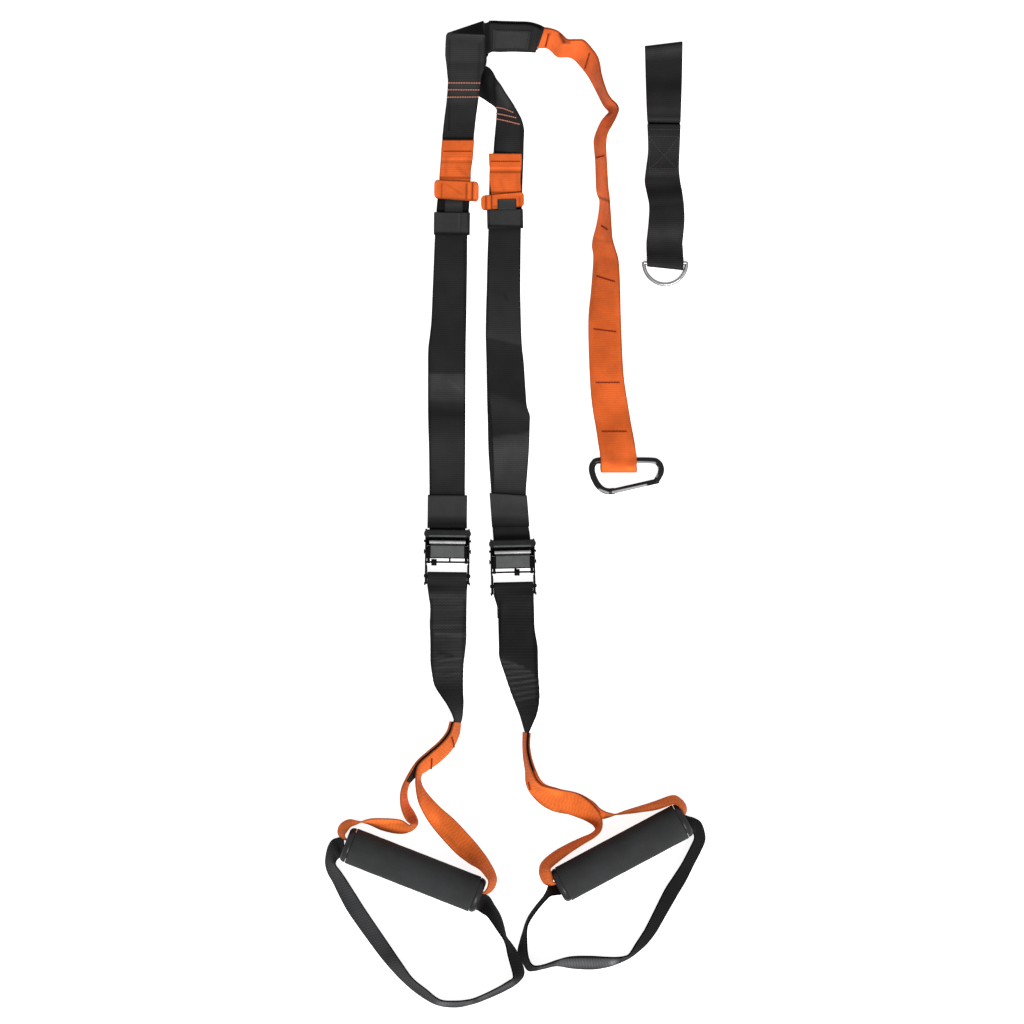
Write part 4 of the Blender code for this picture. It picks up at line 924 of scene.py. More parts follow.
def block(centre, size):
    """A box to cut with, in layout millimetres."""
    bm = bmesh.new()
    bmesh.ops.create_cube(bm, size=1.0)
    bmesh.ops.scale(bm, vec=Vector(size) * MM, verts=bm.verts)
    mesh = bpy.data.meshes.new("block")
    bm.to_mesh(mesh)
    bm.free()
    obj = bpy.data.objects.new("block", mesh)
    bpy.context.scene.collection.objects.link(obj)
    obj.matrix_world = Matrix.Translation(place(centre))
    return obj


# Painted highlights on the bow and the gate, where the paler colour stands for the lamp's reflection
CARABINER_HIGHLIGHTS = added(
    (637, 463.4, 654, 464, 2.4, 4), (657, 468, 656, 476, 2, 3), (613, 492.2, 648, 484.9, 1.5, 3),
    (599, 489.8, 608, 493, 1.3, 2.4),
)


def carabiner():
    """The bow with a slot at its hinge, and the gate with a flat tongue that fits the slot."""
    route = [(x, y, carabiner_height(y)) for x, y in CARABINER_ROUTE]
    points = curve_points(route, 8)
    line, radii = rounded_ends(points, CARABINER_ROD_R)
    body = rod("carabiner_bow", line, radii, BLACK_ANODISED, 24, wear=CARABINER_HIGHLIGHTS)
    hinge = points[-1]
    nose = points[0]
    run = (nose - hinge).normalized()
    cut(body, block(hinge, (15.0, 15.0, 2.6)))
    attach(body, "carabiner")
    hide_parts("carabiner_body")
    start = hinge - run * 2.2
    end = nose - run * 1.6
    sleeve_line = [start.lerp(end, k / GATE_STEPS) for k in range(GATE_STEPS + 1)]
    line, radii = rounded_ends(sleeve_line, GATE_R, 3)
    gate = rod("carabiner_sleeve_gate", line, radii, BLACK_ANODISED, 24, wear=CARABINER_HIGHLIGHTS)
    for shift in (-1, 1):
        cut(gate, block(hinge + Vector((0, 0, shift * 6.0)), (18.0, 18.0, 10.0)))
    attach(gate, "carabiner_gate")
    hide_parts("carabiner_gate")
    dress("carabiner_gate_pin", BRIGHT_STEEL)


# Loose anchor strap with its D-ring


def flat_rows(rows, height, steps=8):
    """Stations of a flat strap through rows of (left point, right point) of the photograph."""
    pairs = [((*px(*left), height), (*px(*right), height)) for left, right in rows]
    return between_edges(pairs, steps)


# The loose strap's upper part, then its doubled part from the ring upwards
LOOSE_TOP = (
    ((644.8, 47.8), (682.6, 43.2)), ((645.6, 80), (682, 78.5)), ((646.4, 105), (681.2, 104.5)),
    ((647.2, 121.8), (680.6, 122.4)),
)
LOOSE_BACK = (
    ((644.8, 259.5), (681, 263)), ((646.3, 242), (682.4, 244)), ((648.4, 222), (684.4, 222)),
    ((649, 206), (684, 206)), ((646.8, 194), (682.4, 193)), ((644.6, 182), (680.2, 181)),
    ((646, 168), (679, 168)), ((648, 150), (679.6, 150)), ((647.2, 124.6), (680.6, 125)),
)
# How far the strap's fold hangs past the ring's bar
LOOSE_SLACK = 4.0
# Painted light and shade in bands across the loose strap, and the waves that lift it
LOOSE_PAINTED_LIGHT = stroked(
    (644.5, 47.2, 683, 42.8, 1.6, 0.5), (646, 54, 682, 50, 8, 2.3), (648, 86, 682, 84, 16, 0.62),
    (648, 111, 681, 111, 7, 1.5), (647, 119.6, 681, 120.2, 1.8, 2.6), (646.5, 123.2, 681, 123.6, 1.8, 0.25),
    (647, 146, 680, 146, 22, 1.6), (648, 173, 678, 173, 6, 2), (650, 193, 681, 190, 12, 0.5),
    (651, 208, 682, 206, 6, 0.8), (650, 234, 682, 234, 14, 2), (648, 254, 681, 257, 5, 0.7),
    (645, 264, 681, 268, 3, 1.5),
)
LOOSE_SHAPE = added((645, 184, 681, 182, 14, 1), (649, 224, 684, 222, 16, 0.8))
# The box stitch: its corners, its diagonals and the seam above it


BOX_CORNERS = ((649, 136), (678, 136), (678, 168.5), (649, 168.5))
BOX_CROSS = (((649, 136), (678, 168.5)), ((678, 136), (649, 168.5)), ((648.5, 129.5), (679.5, 129.5)))


def ring_turn(reach, width):
    """Stations of the loose strap round the ring's bar, from below it to above it."""
    ring_x, ring_y = D_RING_CENTRE
    turn = []
    for k in range(1, 12):
        angle = math.pi * k / 12
        slack = LOOSE_SLACK * math.sin(angle)
        out = Vector((0, -math.sin(angle), -math.cos(angle)))
        spot = Vector((ring_x, ring_y - slack / 2, D_RING_BAR_Z)) + out * reach
        across = Vector((-1, slack / width, 0)).normalized()
        turn.append(Station(spot, across, out, width / 2))
    return turn


def anchor_strap():
    """The loose strap: from its fold at the top down to the ring, round its bar and back up on top."""
    ring_x, ring_y = D_RING_CENTRE
    low = 0.1
    centre = D_RING_BAR_Z
    reach = D_RING_ROD_R + FIT_GAP + THICKNESS / 2
    second = low + THICKNESS + FIT_GAP
    width = ANCHOR_STRAP_WIDTH
    upper = flat_rows(LOOSE_TOP, second + THICKNESS / 2)[::-1]
    upper = [s._replace(across=-s.across) for s in upper]
    turn = fold(moved(upper[-1], -PLY_SPREAD), PLY_SPREAD, 8)
    back = tuple(row for row in LOOSE_BACK if row[0][1] < 250)
    rows = LOOSE_TOP + back[::-1]
    lower = [((left[0] + 0.5, left[1]), (right[0] - 0.5, right[1])) for left, right in rows]
    under = [s._replace(across=-s.across, normal=-s.normal) for s in flat_rows(lower, low + THICKNESS / 2)]
    last = under[-1]
    dip = Vector((ring_x, ring_y, centre - reach))
    under += finer(last, last._replace(centre=dip, across=Vector((-1, 0, 0)), half=width / 2), 4)[1:]
    under.append(under[-1]._replace(centre=dip, across=Vector((-1, 0, 0)), half=width / 2))
    top = Station(Vector((ring_x, ring_y, centre + reach)), under[-1].across, Vector((0, 0, 1)), width / 2)
    over = flat_rows(back, second + THICKNESS / 2)
    over = [s._replace(across=-s.across, normal=-s.normal) for s in over]
    ramp = []
    for ahead, height in ((4.0, centre + reach - 0.5), (9.0, second + 2.8), (15.0, second + 1.2)):
        at = Vector((ring_x, ring_y + ahead, height))
        f = ahead / (over[0].centre.y - ring_y)
        ramp.append(top._replace(centre=at.lerp(Vector((over[0].centre.x, at.y, at.z)), f)))
    over = [top] + ramp + over
    across = upper[0].across
    stations = []
    for s in upper + turn + under + ring_turn(reach, width) + over:
        stations.append(s if s.across.dot(across) > 0 else s._replace(across=-s.across))
    loop = strap("loose_strap_webbing", stations, BLACK_WEBBING, columns=18, tone=LOOSE_PAINTED_LIGHT,
                 shape=LOOSE_SHAPE)
    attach(loop, "anchor_strap")
    lay("anchor_strap")
    lines = photo_lines(round_trip(BOX_CORNERS)) + photo_lines(BOX_CROSS)
    seams("box_stitch", over, lines, GREY_THREAD, "anchor_strap", pitch=2.6, radius=0.32)


def d_ring():
    """A half round that leans up to its straight bar."""
    ring_x, ring_y = D_RING_CENTRE
    ring = []
    for k in range(41):
        angle = math.pi * (1 + k / 40)
        x = ring_x + D_RING_R * math.cos(angle)
        y = ring_y + D_RING_R * math.sin(angle)
        z = D_RING_ROD_R + (D_RING_BAR_Z - D_RING_ROD_R) * (y - ring_y + D_RING_R) / D_RING_R
        ring.append(Vector((x, y, z)))
    ring += [Vector((ring_x + D_RING_R * f, ring_y, D_RING_BAR_Z)) for f in (0.97, 0.5, 0.0, -0.5, -0.97)]
    wire = rod("d_ring_wire", ring, [D_RING_ROD_R] * len(ring), RING_STEEL, 20, cyclic=True)
    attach(wire, "d_ring")
    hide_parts("anchor_strap_d_ring")


# Each side


def on_side(side, u, v, z=0.0):
    """A point of the buckle's frame in the plan."""
    return Vector((side.x + u + side.lean * v, side.y + v - side.lean * u, z))


# Both edges of the left strap's top, (west, east), where it rises and folds into the band
LEFT_TOP_EDGES = (
    ((-71, 503.5, 1), (-33, 515, 16.4)), ((-71.2, 502.6, 6.5), (-31, 510.8, 16.8)),
    ((-72, 501.2, 12.2), (-30.2, 502.5, 17)), ((-72.5, 497.5, 13.6), (-30, 497.5, 17)),
    ((-73.2, 480.8, 12.8), (-29.6, 481, 14.2)), ((-72, 470, 12), (-30, 471, 12.8)),
    ((-71, 459, 11.4), (-34.4, 459.5, 11.4)), ((-70.4, 450.5, 11), (-36, 451.5, 11)),
    ((-71.9, 431.5, 6.4), (-38.6, 431.5, 6.4)), ((-74.2, 414, 3.2), (-41, 414, 3.2)),
    ((-76.3, 395, 2.3), (-43, 395, 2.3)),
)
# The right strap's top, which runs under the left one and turns up beside it
RIGHT_TOP = (
    (478.5, 61, 460, 78, 0.9, 27.2), (484, 65.5, 466, 86, 1, 29.9), (489.6, 68.8, 473, 92.5, 1, 32),
    (493.2, 74.5, 480, 97, 1, 34.5), (496.2, 81, 484.5, 99.5, 1), (500.6, 87, 488.5, 102.3, 1),
    (506, 96, 493.5, 105.6, 1), (512, 105, 496.9, 109.5, 1), (517.2, 113.5, 496.8, 114.5, 1),
    (521.6, 121.5, 496.3, 121, 1), (524, 130.6, 495.5, 129, 1.4, 35), (523.9, 141, 494.4, 140, 1.8, 33),
    (523.8, 147, 493.8, 147, 2.1, 32.2), (523.7, 152, 493.6, 152, 2.2, 31.8),
)
# Three rows of copper stitches on each strap, as (start, end) in the photograph
STITCH_ROWS = {
    "left": (((447, 83.5), (481, 83.5)), ((446.5, 90), (480, 90)), ((446, 97), (479, 97))),
    "right": (((496.5, 107), (514, 113.5)), ((497, 113), (517, 119)), ((497, 118.5), (520.5, 125))),
}


# Rows of (y, left edge, right edge): the rear layer down to the buckle
MAIN_EDGES = {
    "left": (
        (150, 442.2, 473.2), (170, 441.2, 471), (180, 440.4, 470.5), (190, 438.8, 470.8),
        (205, 436.9, 469.4), (222, 435.8, 468.2), (238, 434.8, 467.4), (262, 433.8, 467.2),
        (290, 432.7, 466.8), (320, 431.4, 466.4), (336, 429.8, 466), (350, 428.2, 465.8), (375, 428, 465.6),
        (398, 428, 465.5), (412, 428, 465.5), (430, 428.4, 465.4), (450, 429, 465.3), (475, 429.3, 465.1),
        (495, 429.5, 465), (525, 429.4, 465.4), (546, 429.4, 465.4),
    ),
    "right": (
        (158, 490.8, 523.6), (172, 489.6, 523), (190, 489.2, 522.4), (209, 488.9, 521.8), (230, 488.4, 521),
        (260, 487.4, 520.6), (290, 486.7, 520.4), (312, 486, 520.8), (333, 485.7, 521.4), (348, 486, 522.2),
        (362, 486.4, 523.8), (380, 486.7, 525), (395, 487, 526), (405, 487.2, 526.8), (411, 487.4, 528.4),
        (416, 487.6, 530), (424, 487.8, 529.9), (450, 488.4, 529), (470, 489.6, 527.6), (493, 491.2, 526),
        (510, 492, 526.6), (527, 492.4, 528.8), (540, 493.4, 530.4), (556, 494, 530.4),
    ),
}
# The same for the front layer, from the buckle back up to the tab
TAIL_EDGES = {
    "left": (
        (529, 430.4, 465), (495, 430.2, 464.6), (475, 430, 464.7), (450, 429.7, 464.9), (430, 429.1, 465),
        (412, 428.7, 465.1), (398, 428.7, 465.1), (375, 428.7, 465.2), (350, 428.9, 465.4),
        (336, 430.4, 465.6), (320, 432, 466), (290, 433.3, 466.4), (262, 434.4, 466.8), (238, 435.4, 467),
        (222, 436.2, 467.8), (205, 437.5, 469), (190, 439.4, 470.2), (180, 441, 470.2), (164, 441.8, 471.2),
    ),
    "right": (
        (540, 494.6, 530), (527, 493.4, 528.4), (510, 493, 526.2), (493, 492.6, 525.6), (470, 493.2, 527.2),
        (450, 492.8, 528.6), (424, 491, 529.6), (416, 490.4, 529.7), (411, 490, 528), (405, 489.6, 526.4),
        (395, 489, 525.6), (380, 488, 524.6), (362, 487, 523.4), (348, 486.6, 521.8), (333, 486.3, 521),
        (312, 486.6, 520.4), (290, 487.3, 520), (260, 488, 520.2), (230, 488.8, 520.6), (209, 489.4, 521.4),
        (190, 489.8, 522), (172, 490.2, 522.6), (164, 490.6, 523),
    ),
}
# Painted light and shade on the front layer: lit and shaded bands down the strap, and painted shadows
# in its creases and along its edges
TAIL_PAINTED_LIGHT = {
    "left": product(
        banded(
            429, 466, (198, 200, 0.5), (211, 211, 0.5), (230, 230, 0.8), (250, 250, 0.95), (275, 277, 1.1),
            (285, 287, 1), (330, 328, 0.92), (372, 373, 1), (375.5, 376, 2.6), (384, 385, 2.7),
            (396, 397, 2), (404, 406, 1), (412, 414, 0.7), (424, 426, 0.95), (445, 445, 1.55),
            (470, 470, 1.35), (490, 490, 1), (494, 494, 0.7),
        ),
        stroked(
            (430.5, 240, 430.5, 340, 2, 0.55), (429.5, 350, 430.5, 490, 1.8, 0.6),
            (464.5, 240, 464.5, 492, 1.6, 0.6), (450, 381, 463, 393, 3, 1.2),
        ),
    ),
    "right": product(
        banded(
            488, 525, (196, 196, 0.5), (212, 212, 0.5), (226, 226, 0.7), (236, 236, 0.95), (290, 292, 1.15),
            (320, 322, 1.45), (336, 344, 1.75), (339.5, 348.5, 0.92), (360, 368, 0.88), (390, 402, 0.78),
            (394, 408, 1.12), (402, 415, 1.35), (424, 424, 1), (436.5, 432, 0.95), (439.5, 434.5, 2.3),
            (452, 448, 3), (472, 470, 2.4), (487, 487, 1.8), (493, 493, 0.8),
        ),
        stroked(
            (488.5, 240, 487.5, 330, 1.8, 0.6), (489.8, 405, 494, 490, 1.6, 0.6),
            (520, 240, 521, 335, 1.6, 0.65), (505, 296, 507, 300, 3, 0.7),
        ),
    ),
}
# Low waves that lift the front layer
TAIL_SHAPE = {
    "left": added((428, 380, 466, 381, 16, 0.7), (428, 300, 466, 302, 22, 0.5)),
    "right": added((487, 333, 524, 342, 16, 0.7), (490, 448, 528, 440, 20, 0.9)),
}
# Painted light and shade on the rear layer, from the band down: painted shadow in its fold, along its
# edges and where it runs under the other strap, and paler lit bands
MAIN_PAINTED_LIGHT = {
    "left": product(
        banded(
            449, 484, (20, 6, 0.3), (33.6, 35.6, 0.34), (35, 37.2, 3.2), (37.2, 39.6, 2.2), (41, 43, 1.8),
            (60, 60, 2.1), (66, 66, 1.5), (75, 75, 1.8), (100, 100, 1.7), (108, 108, 1.2), (112, 112, 1.2),
            (135, 135, 1), (180, 180, 1), (198, 198, 0.5), (212, 212, 0.5), (228, 228, 1),
        ),
        stroked(
            (449.5, 42, 449, 130, 2.2, 0.6), (480, 45, 476, 130, 2.4, 0.65), (486, 40, 486, 68, 4, 0.25),
            (450, 86.8, 478, 87, 2.6, 1.25), (450, 93.5, 478, 93.7, 2.4, 1.25),
        ),
    ),
    "right": product(
        banded(489, 524, (60, 60, 1), (190, 190, 1), (196, 196, 0.5), (212, 212, 0.5), (228, 228, 1)),
        stroked(
            (480, 66, 488, 100, 11, 0.16), (494, 80, 495, 106, 4, 0.3), (494.5, 112, 493.5, 152, 4, 0.4),
            (499, 90, 508, 107, 5.5, 2.2), (512, 130, 510, 150, 9, 1.25), (521, 128, 522, 150, 2.4, 0.6),
            (488, 400, 489, 490, 2.6, 0.35),
        ),
    ),
}


def main_strap(side):
    """The rear layer: from its sewn top down to the buckle, baked in place and attached to no body."""
    low = level(MAIN_EDGES[side.name], MAIN_LIFT + THICKNESS / 2, 6)
    top = between_edges(LEFT_TOP_EDGES, 12) if side.name == "left" else leaned(RIGHT_TOP, STRAP_WIDTH, 8)
    stations = top + low
    obj = strap(f"{side.name}_main_webbing", stations, BLACK_WEBBING, columns=24, tone=MAIN_PAINTED_LIGHT[side.name])
    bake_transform(obj)
    lay(f"{side.name}_main_strap")
    lines = photo_lines(STITCH_ROWS[side.name])
    seams(f"{side.name}_row_stitches", stations, lines, COPPER_THREAD, "anchor", pitch=2.6, radius=0.78,
          fill=0.92, last=0.7)


def beside(side, path, across, width=STRAP_WIDTH):
    """Stations of a strap through (u, v, z) points of the buckle's frame."""
    stations = []
    for i, point in enumerate(path):
        behind = on_side(side, *path[max(i - 1, 0)])
        ahead = on_side(side, *path[min(i + 1, len(path) - 1)])
        normal = (ahead - behind).cross(across).normalized()
        stations.append(Station(on_side(side, *point), across, normal, width / 2))
    return stations


def tail_strap(side):
    """The front layer: round the buckle's strap bar and back up to the tab."""
    across = Vector((1, -side.lean, 0)).normalized()
    reach = STRAP_BAR_R + 0.3 + THICKNESS / 2
    path = [(0, -2.5, MAIN_LIFT + THICKNESS / 2), (0, STRAP_BAR_V + 1.5, STRAP_BAR_Z - reach + 0.1)]
    for k in range(13):
        angle = math.pi * k / 12
        path.append((0, STRAP_BAR_V - reach * math.sin(angle), STRAP_BAR_Z - reach * math.cos(angle)))
    tail_z = TAIL_LIFT + THICKNESS / 2
    path.append((0, -1.0, 5.4))
    rows = level(TAIL_EDGES[side.name], tail_z, 10)
    stations = beside(side, path, across) + rows
    tone, shape = TAIL_PAINTED_LIGHT[side.name], TAIL_SHAPE[side.name]
    obj = strap(f"{side.name}_tail_webbing", stations, BLACK_WEBBING, columns=24, tone=tone, shape=shape)
    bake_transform(obj)
    lay(f"{side.name}_tail_strap")


def rounded_box(x0, y0, x1, y1, radius, count=4, across=36):
    """Corners of a box with rounded corners, anticlockwise, with points along its long sides."""
    corners = ((x1 - radius, y0 + radius, -90), (x1 - radius, y1 - radius, 0))
    corners += ((x0 + radius, y1 - radius, 90), (x0 + radius, y0 + radius, 180))
    points = []
    for number, (x, y, start) in enumerate(corners):
        for k in range(count + 1):
            angle = math.radians(start + 90 * k / count)
            points.append((x + radius * math.cos(angle), y + radius * math.sin(angle)))
        if number in (1, 3):
            begin, end = (x1 - radius, x0 + radius) if number == 1 else (x0 + radius, x1 - radius)
            level_y = y1 if number == 1 else y0
            for k in range(1, across):
                points.append((begin + (end - begin) * k / across, level_y))
    return points


def sleeve(name, side, low, high, inner, outer, material, body, radius=0.8, tone=no_painted_light,
           slants=(0.0, 0.0), shifts=(0.0, 0.0), pinch=0.0):
    """A flat sewn sleeve round the strap, with soft hems.

    low and high are its ends along the strap, inner and outer the boxes (u0, z0, u1, z1) of its section.
    slants tilt its lower and upper ends, shifts move them sideways, and pinch rounds its corners in plan.
    """
    bm = bmesh.new()
    weave = bm.loops.layers.uv.new("weave")
    painted_light_layer = bm.verts.layers.float.new("tone")
    edges = bm.verts.layers.float.new("edge")
    inside = rounded_box(*inner, radius * 0.5)
    outside = rounded_box(*outer, radius)
    hem = 0.35
    rows = [(inside, low + hem, 0.0), (inside, high - hem, 0.0)]
    middle = [((a[0] + b[0]) / 2, (a[1] + b[1]) / 2) for a, b in zip(inside, outside)]
    rows += [(middle, high, 0.1)]
    steps = max(4, round((high - low) / 1.2))
    for k in range(steps + 1):
        v = high - hem + (low - high + 2 * hem) * k / steps
        rows.append((outside, v, min(v - low, high - v)))
    rows += [(middle, low, 0.1)]
    rings = []
    half = (outer[2] - outer[0]) / 2
    middle_u = (outer[0] + outer[2]) / 2
    for loop, v, edge in rows:
        share = (v - low) / (high - low)
        near_end = max(0.0, 1.0 - min(v - low, high - v) / 4.0)
        ring = []
        for u, z in loop:
            out = (u - middle_u) / half
            tilt = (slants[0] * (1 - share) + slants[1] * share) * out
            pull = -out * pinch * near_end ** 2 * soft_step((abs(out) - 0.75) / 0.2)
            shift = shifts[0] * (1 - share) + shifts[1] * share
            at = on_side(side, u + pull + shift, v + tilt, z)
            vert = bm.verts.new(place(at))
            # The tone field paints light and shade into the sleeve's colour
            vert[painted_light_layer] = tone(*in_photo(at))
            vert[edges] = edge
            ring.append(vert)
        rings.append(ring)
    count = len(inside)
    around = [0.0]
    for a, b in round_trip(outside):
        around.append(around[-1] + math.dist(a, b))
    for i in range(len(rings)):
        j = (i + 1) % len(rings)
        for k in range(count):
            n = (k + 1) % count
            face = bm.faces.new((rings[i][k], rings[i][n], rings[j][n], rings[j][k]))
            spots = ((i, around[k]), (i, around[k + 1]), (j, around[k + 1]), (j, around[k]))
            for loop, (row, run) in zip(face.loops, spots):
                loop[weave].uv = (rows[row][1] * MM, run * MM)
    obj = finished(bm, name, material, 50.0)
    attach(obj, body)
    return obj


# Rows of (y, left edge, right edge) of the orange tab
TAB_EDGES = {
    "left": (
        (140.5, 442.3, 474.3), (150, 441.4, 473.6), (160, 440.8, 472.8), (170, 440, 471.3),
        (178, 439.5, 470.8), (188, 439.5, 470),
    ),
    "right": (
        (154, 489, 521.6), (163, 489.2, 522), (169, 489.8, 521.4), (180, 489.4, 520.6), (190, 490.6, 521.2),
        (197, 491, 520.6),
    ),
}
# Painted light and shade on the tab, its two keepers and the sleeve at the buckle: lit and shaded lines
# at their folds and edges, and painted shadow at their lower ends
TAB_PAINTED_LIGHT = {
    "left": stroked(
        (442, 159.5, 473, 159.5, 2, 1.22), (441, 162.5, 473, 162.5, 2.4, 0.72),
        (440, 178.2, 471, 178.6, 2.2, 0.4), (446, 145, 446, 176, 3, 0.85), (469, 150, 470, 176, 3.4, 0.88),
        (458, 168, 466, 175, 4, 0.85),
    ),
    "right": stroked(
        (490, 168.5, 521, 168.5, 2, 1.22), (490, 172.4, 522, 172.4, 2.2, 0.42),
        (492, 176, 493, 192, 3, 0.82), (517, 176, 518, 192, 3, 0.85), (490, 193, 522, 193, 2.4, 0.4),
        (500, 180, 504, 190, 3.4, 0.85), start=1.12,
    ),
}
KEEPER_PAINTED_LIGHT = {
    "left": stroked(
        (442, 184, 441.5, 198, 1.2, 0.5), (466.6, 184, 466.3, 199, 1.3, 0.25),
        (472.6, 183, 472.2, 200, 1.4, 0.2), (435, 184, 434.5, 196, 3.5, 1.35),
        (476.5, 186, 475.5, 199, 2.6, 1.3), (469.5, 185, 469.2, 198, 1.6, 1.25),
        (447, 185, 463, 195.5, 1.2, 0.7), (435, 198.5, 476, 200.5, 1.6, 0.62),
    ),
    "right": stroked(
        (486, 196, 486, 211, 1.3, 0.25), (491.5, 195, 491.8, 209, 1.4, 0.22),
        (482.6, 197, 482.6, 211, 1.8, 1.25), (496, 194.5, 522, 194.5, 1.8, 1.25),
        (489, 198, 489, 209, 1.6, 1.2), (494, 207, 523, 207.5, 1.6, 0.6),
        (519.5, 198, 519.8, 207, 1.4, 0.6),
    ),
}
BLACK_KEEPER_PAINTED_LIGHT = {
    "left": stroked(
        (459.2, 215, 458.8, 228, 1.3, 1.35), (461.4, 213, 461, 233, 1.6, 0.8),
        (434, 233.6, 470, 234.2, 2.4, 0.25), (468.5, 213, 469.5, 233, 2.4, 0.45),
        (434, 213, 434, 233, 2, 0.6),
    ),
    "right": stroked(
        (488, 226.4, 523, 227, 2.4, 0.25), (521.8, 210, 521.6, 226, 2.2, 0.45),
        (489, 210, 489, 226, 2, 0.6), (497.5, 209, 516.5, 209, 1.8, 0.4),
    ),
}
SEWN_PAINTED_LIGHT = {
    "left": banded(
        428, 467, (495, 495, 0.7), (498, 498, 1.15), (514, 514, 1), (520, 520, 0.5), (524, 524, 0.3),
        (528, 528, 0.9),
    ),
    "right": banded(
        490, 526, (491, 495, 0.7), (494, 498, 1.25), (512, 514, 1.05), (521, 521, 0.55), (526, 526, 0.3),
    ),
}


TAB_MIDDLE = ABOVE_TAIL + THICKNESS / 2
TAB_RIPPLE = added((460, 150, 462, 156, 9, 0.5), (452, 170, 456, 174, 8, 0.4), (500, 180, 512, 184, 9, 0.5))
TONGUE_U = 2.3
TONGUE_HALF = 9.8
# Painted light and shade on the tongue: painted shadow lines beside the keepers and a lit line
TONGUE_PAINTED_LIGHT = stroked(
    (444.5, 199, 463, 199.5, 2, 0.4), (444.5, 211, 463, 211, 2.4, 0.45), (498, 201, 516, 201, 1.8, 1.3),
)
# What differs between the sides: the height of the hem's seam, the hem's lower end and the seam's ends, all
# in the photograph; how far the orange keeper's two ends lie off the usual ones, and its slants; the black
# keeper's shift; and how much wider than half the strap the sewn sleeve is, its slants and shifts
TRIM_FIELDS = "seam_y hem_end seam_x keeper_ends keeper_slants loop_shift sewn_wider sewn_slants sewn_shifts"
Trim = namedtuple("Trim", TRIM_FIELDS)
TRIM = {
    "left": Trim(151.7, 158.0, (443.6, 472.0), (1.9, 8.0), (-1.4, -0.8), 0.6, 1.2, (0.0, 0.0), (-0.6, -0.6)),
    "right": Trim(162.0, 168.0, (491.0, 520.0), (-4.5, 0.0), (1.4, 1.6), 0.0, 0.2, (0.0, -1.8), (-1.4, -3.2)),
}


def adjust_tab(side):
    """The orange tab with its turned hem."""
    name = side.name
    trim = TRIM[name]
    body = f"{name}_tab"
    stations = level(TAB_EDGES[name], TAB_MIDDLE, 8)
    tab = strap(f"{name}_tab_webbing", stations, ORANGE_WEBBING, columns=18, tone=TAB_PAINTED_LIGHT[name],
                shape=TAB_RIPPLE)
    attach(tab, body)
    lay()
    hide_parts(f"{name}_adjust_tab")
    top_y = TAB_EDGES[name][0][0] + 0.4
    hem = [moved(s, 1.1) for s in stations if px(0, trim.hem_end)[1] < s.centre.y < px(0, top_y)[1]]
    folded = strap(f"{name}_tab_hem", hem, ORANGE_WEBBING, 0.8, 18)
    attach(folded, body)
    lay()
    left_x, right_x = trim.seam_x
    rows = photo_lines((((left_x, trim.seam_y), (right_x, trim.seam_y)),))
    seams(f"{name}_tab_seam", hem, rows, BROWN_THREAD, body, 0.4, pitch=2.0, radius=0.55, fill=0.92)


def tab_tongue(side):
    """The black tongue from the black keeper, which ends under the left orange keeper and over the right."""
    name = side.name
    across = Vector((1, -side.lean, 0)).normalized()
    keeper_low, keeper_high = side.keeper_v
    loop_low, loop_high = side.loop_v
    if name == "left":
        stops = [(keeper_low + 0.6, TAB_MIDDLE), (loop_low + 4.0, TAB_MIDDLE)]
    else:
        over = TAB_MIDDLE + 3.2
        stops = [(keeper_high - 6.5, over), (keeper_low - 0.5, over), (loop_high - 1.0, TAB_MIDDLE),
                 (loop_low + 4.0, TAB_MIDDLE)]
    up = Vector((0, 0, 1))
    ends = [Station(on_side(side, TONGUE_U, v, z), across, up, TONGUE_HALF) for v, z in stops]
    ends = [s for a, b in zip(ends, ends[1:]) for s in finer(a, b, 6)] + [ends[-1]]
    tongue = strap(f"{name}_tab_tongue", ends, SLEEVE_BLACK, 1.2, 12, TONGUE_PAINTED_LIGHT)
    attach(tongue, f"{name}_tab")
    lay()


def keepers(side):
    """The orange and the black keeper of the tab, and the sleeve sewn to the buckle."""
    name = side.name
    trim = TRIM[name]
    body = f"{name}_tab"
    wall = 1.2
    top = ABOVE_TAIL + THICKNESS + FIT_GAP
    left_end, right_end = trim.keeper_ends
    inner = (-SLEEVE_INNER_HALF + left_end, SLEEVE_WALL, SLEEVE_INNER_HALF + right_end, top)
    outer = (inner[0] - wall, 0.0, inner[2] + wall, inner[3] + wall)
    keeper = sleeve(f"{name}_orange_keeper", side, *side.keeper_v, inner, outer, ORANGE_WEBBING, body, 1.6,
                    KEEPER_PAINTED_LIGHT[name], trim.keeper_slants, pinch=2.4)
    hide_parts(f"{name}_tab_keeper")
    half = STRAP_WIDTH / 2 - 0.6
    inner = (-half, SLEEVE_WALL, half, top)
    outer = (-half - SLEEVE_WALL, 0.0, half + SLEEVE_WALL, top + SLEEVE_WALL)
    black = sleeve(f"{name}_black_keeper", side, *side.loop_v, inner, outer, SLEEVE_BLACK, body,
                   tone=BLACK_KEEPER_PAINTED_LIGHT[name], shifts=(trim.loop_shift, trim.loop_shift))
    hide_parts(f"{name}_keeper_sleeve")
    half = STRAP_WIDTH / 2 + trim.sewn_wider
    inner = (-half, SLEEVE_WALL, half, ABOVE_TAIL)
    outer = (-half - SLEEVE_WALL, 0.0, half + SLEEVE_WALL, ABOVE_TAIL + SLEEVE_WALL)
    sewn = sleeve(f"{name}_sewn_sleeve", side, *side.sleeve_v, inner, outer, SLEEVE_BLACK, f"{name}_buckle",
                  tone=SEWN_PAINTED_LIGHT[name], slants=trim.sewn_slants, shifts=trim.sewn_shifts)
    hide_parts(f"{name}_buckle_sleeve")


def finer(a, b, steps):
    """Stations between two, without the last."""
    made = []
    for k in range(steps):
        f = k / steps
        made.append(Station(a.centre.lerp(b.centre, f), a.across.lerp(b.across, f).normalized(),
                            a.normal.lerp(b.normal, f).normalized(), a.half + (b.half - a.half) * f))
    return made


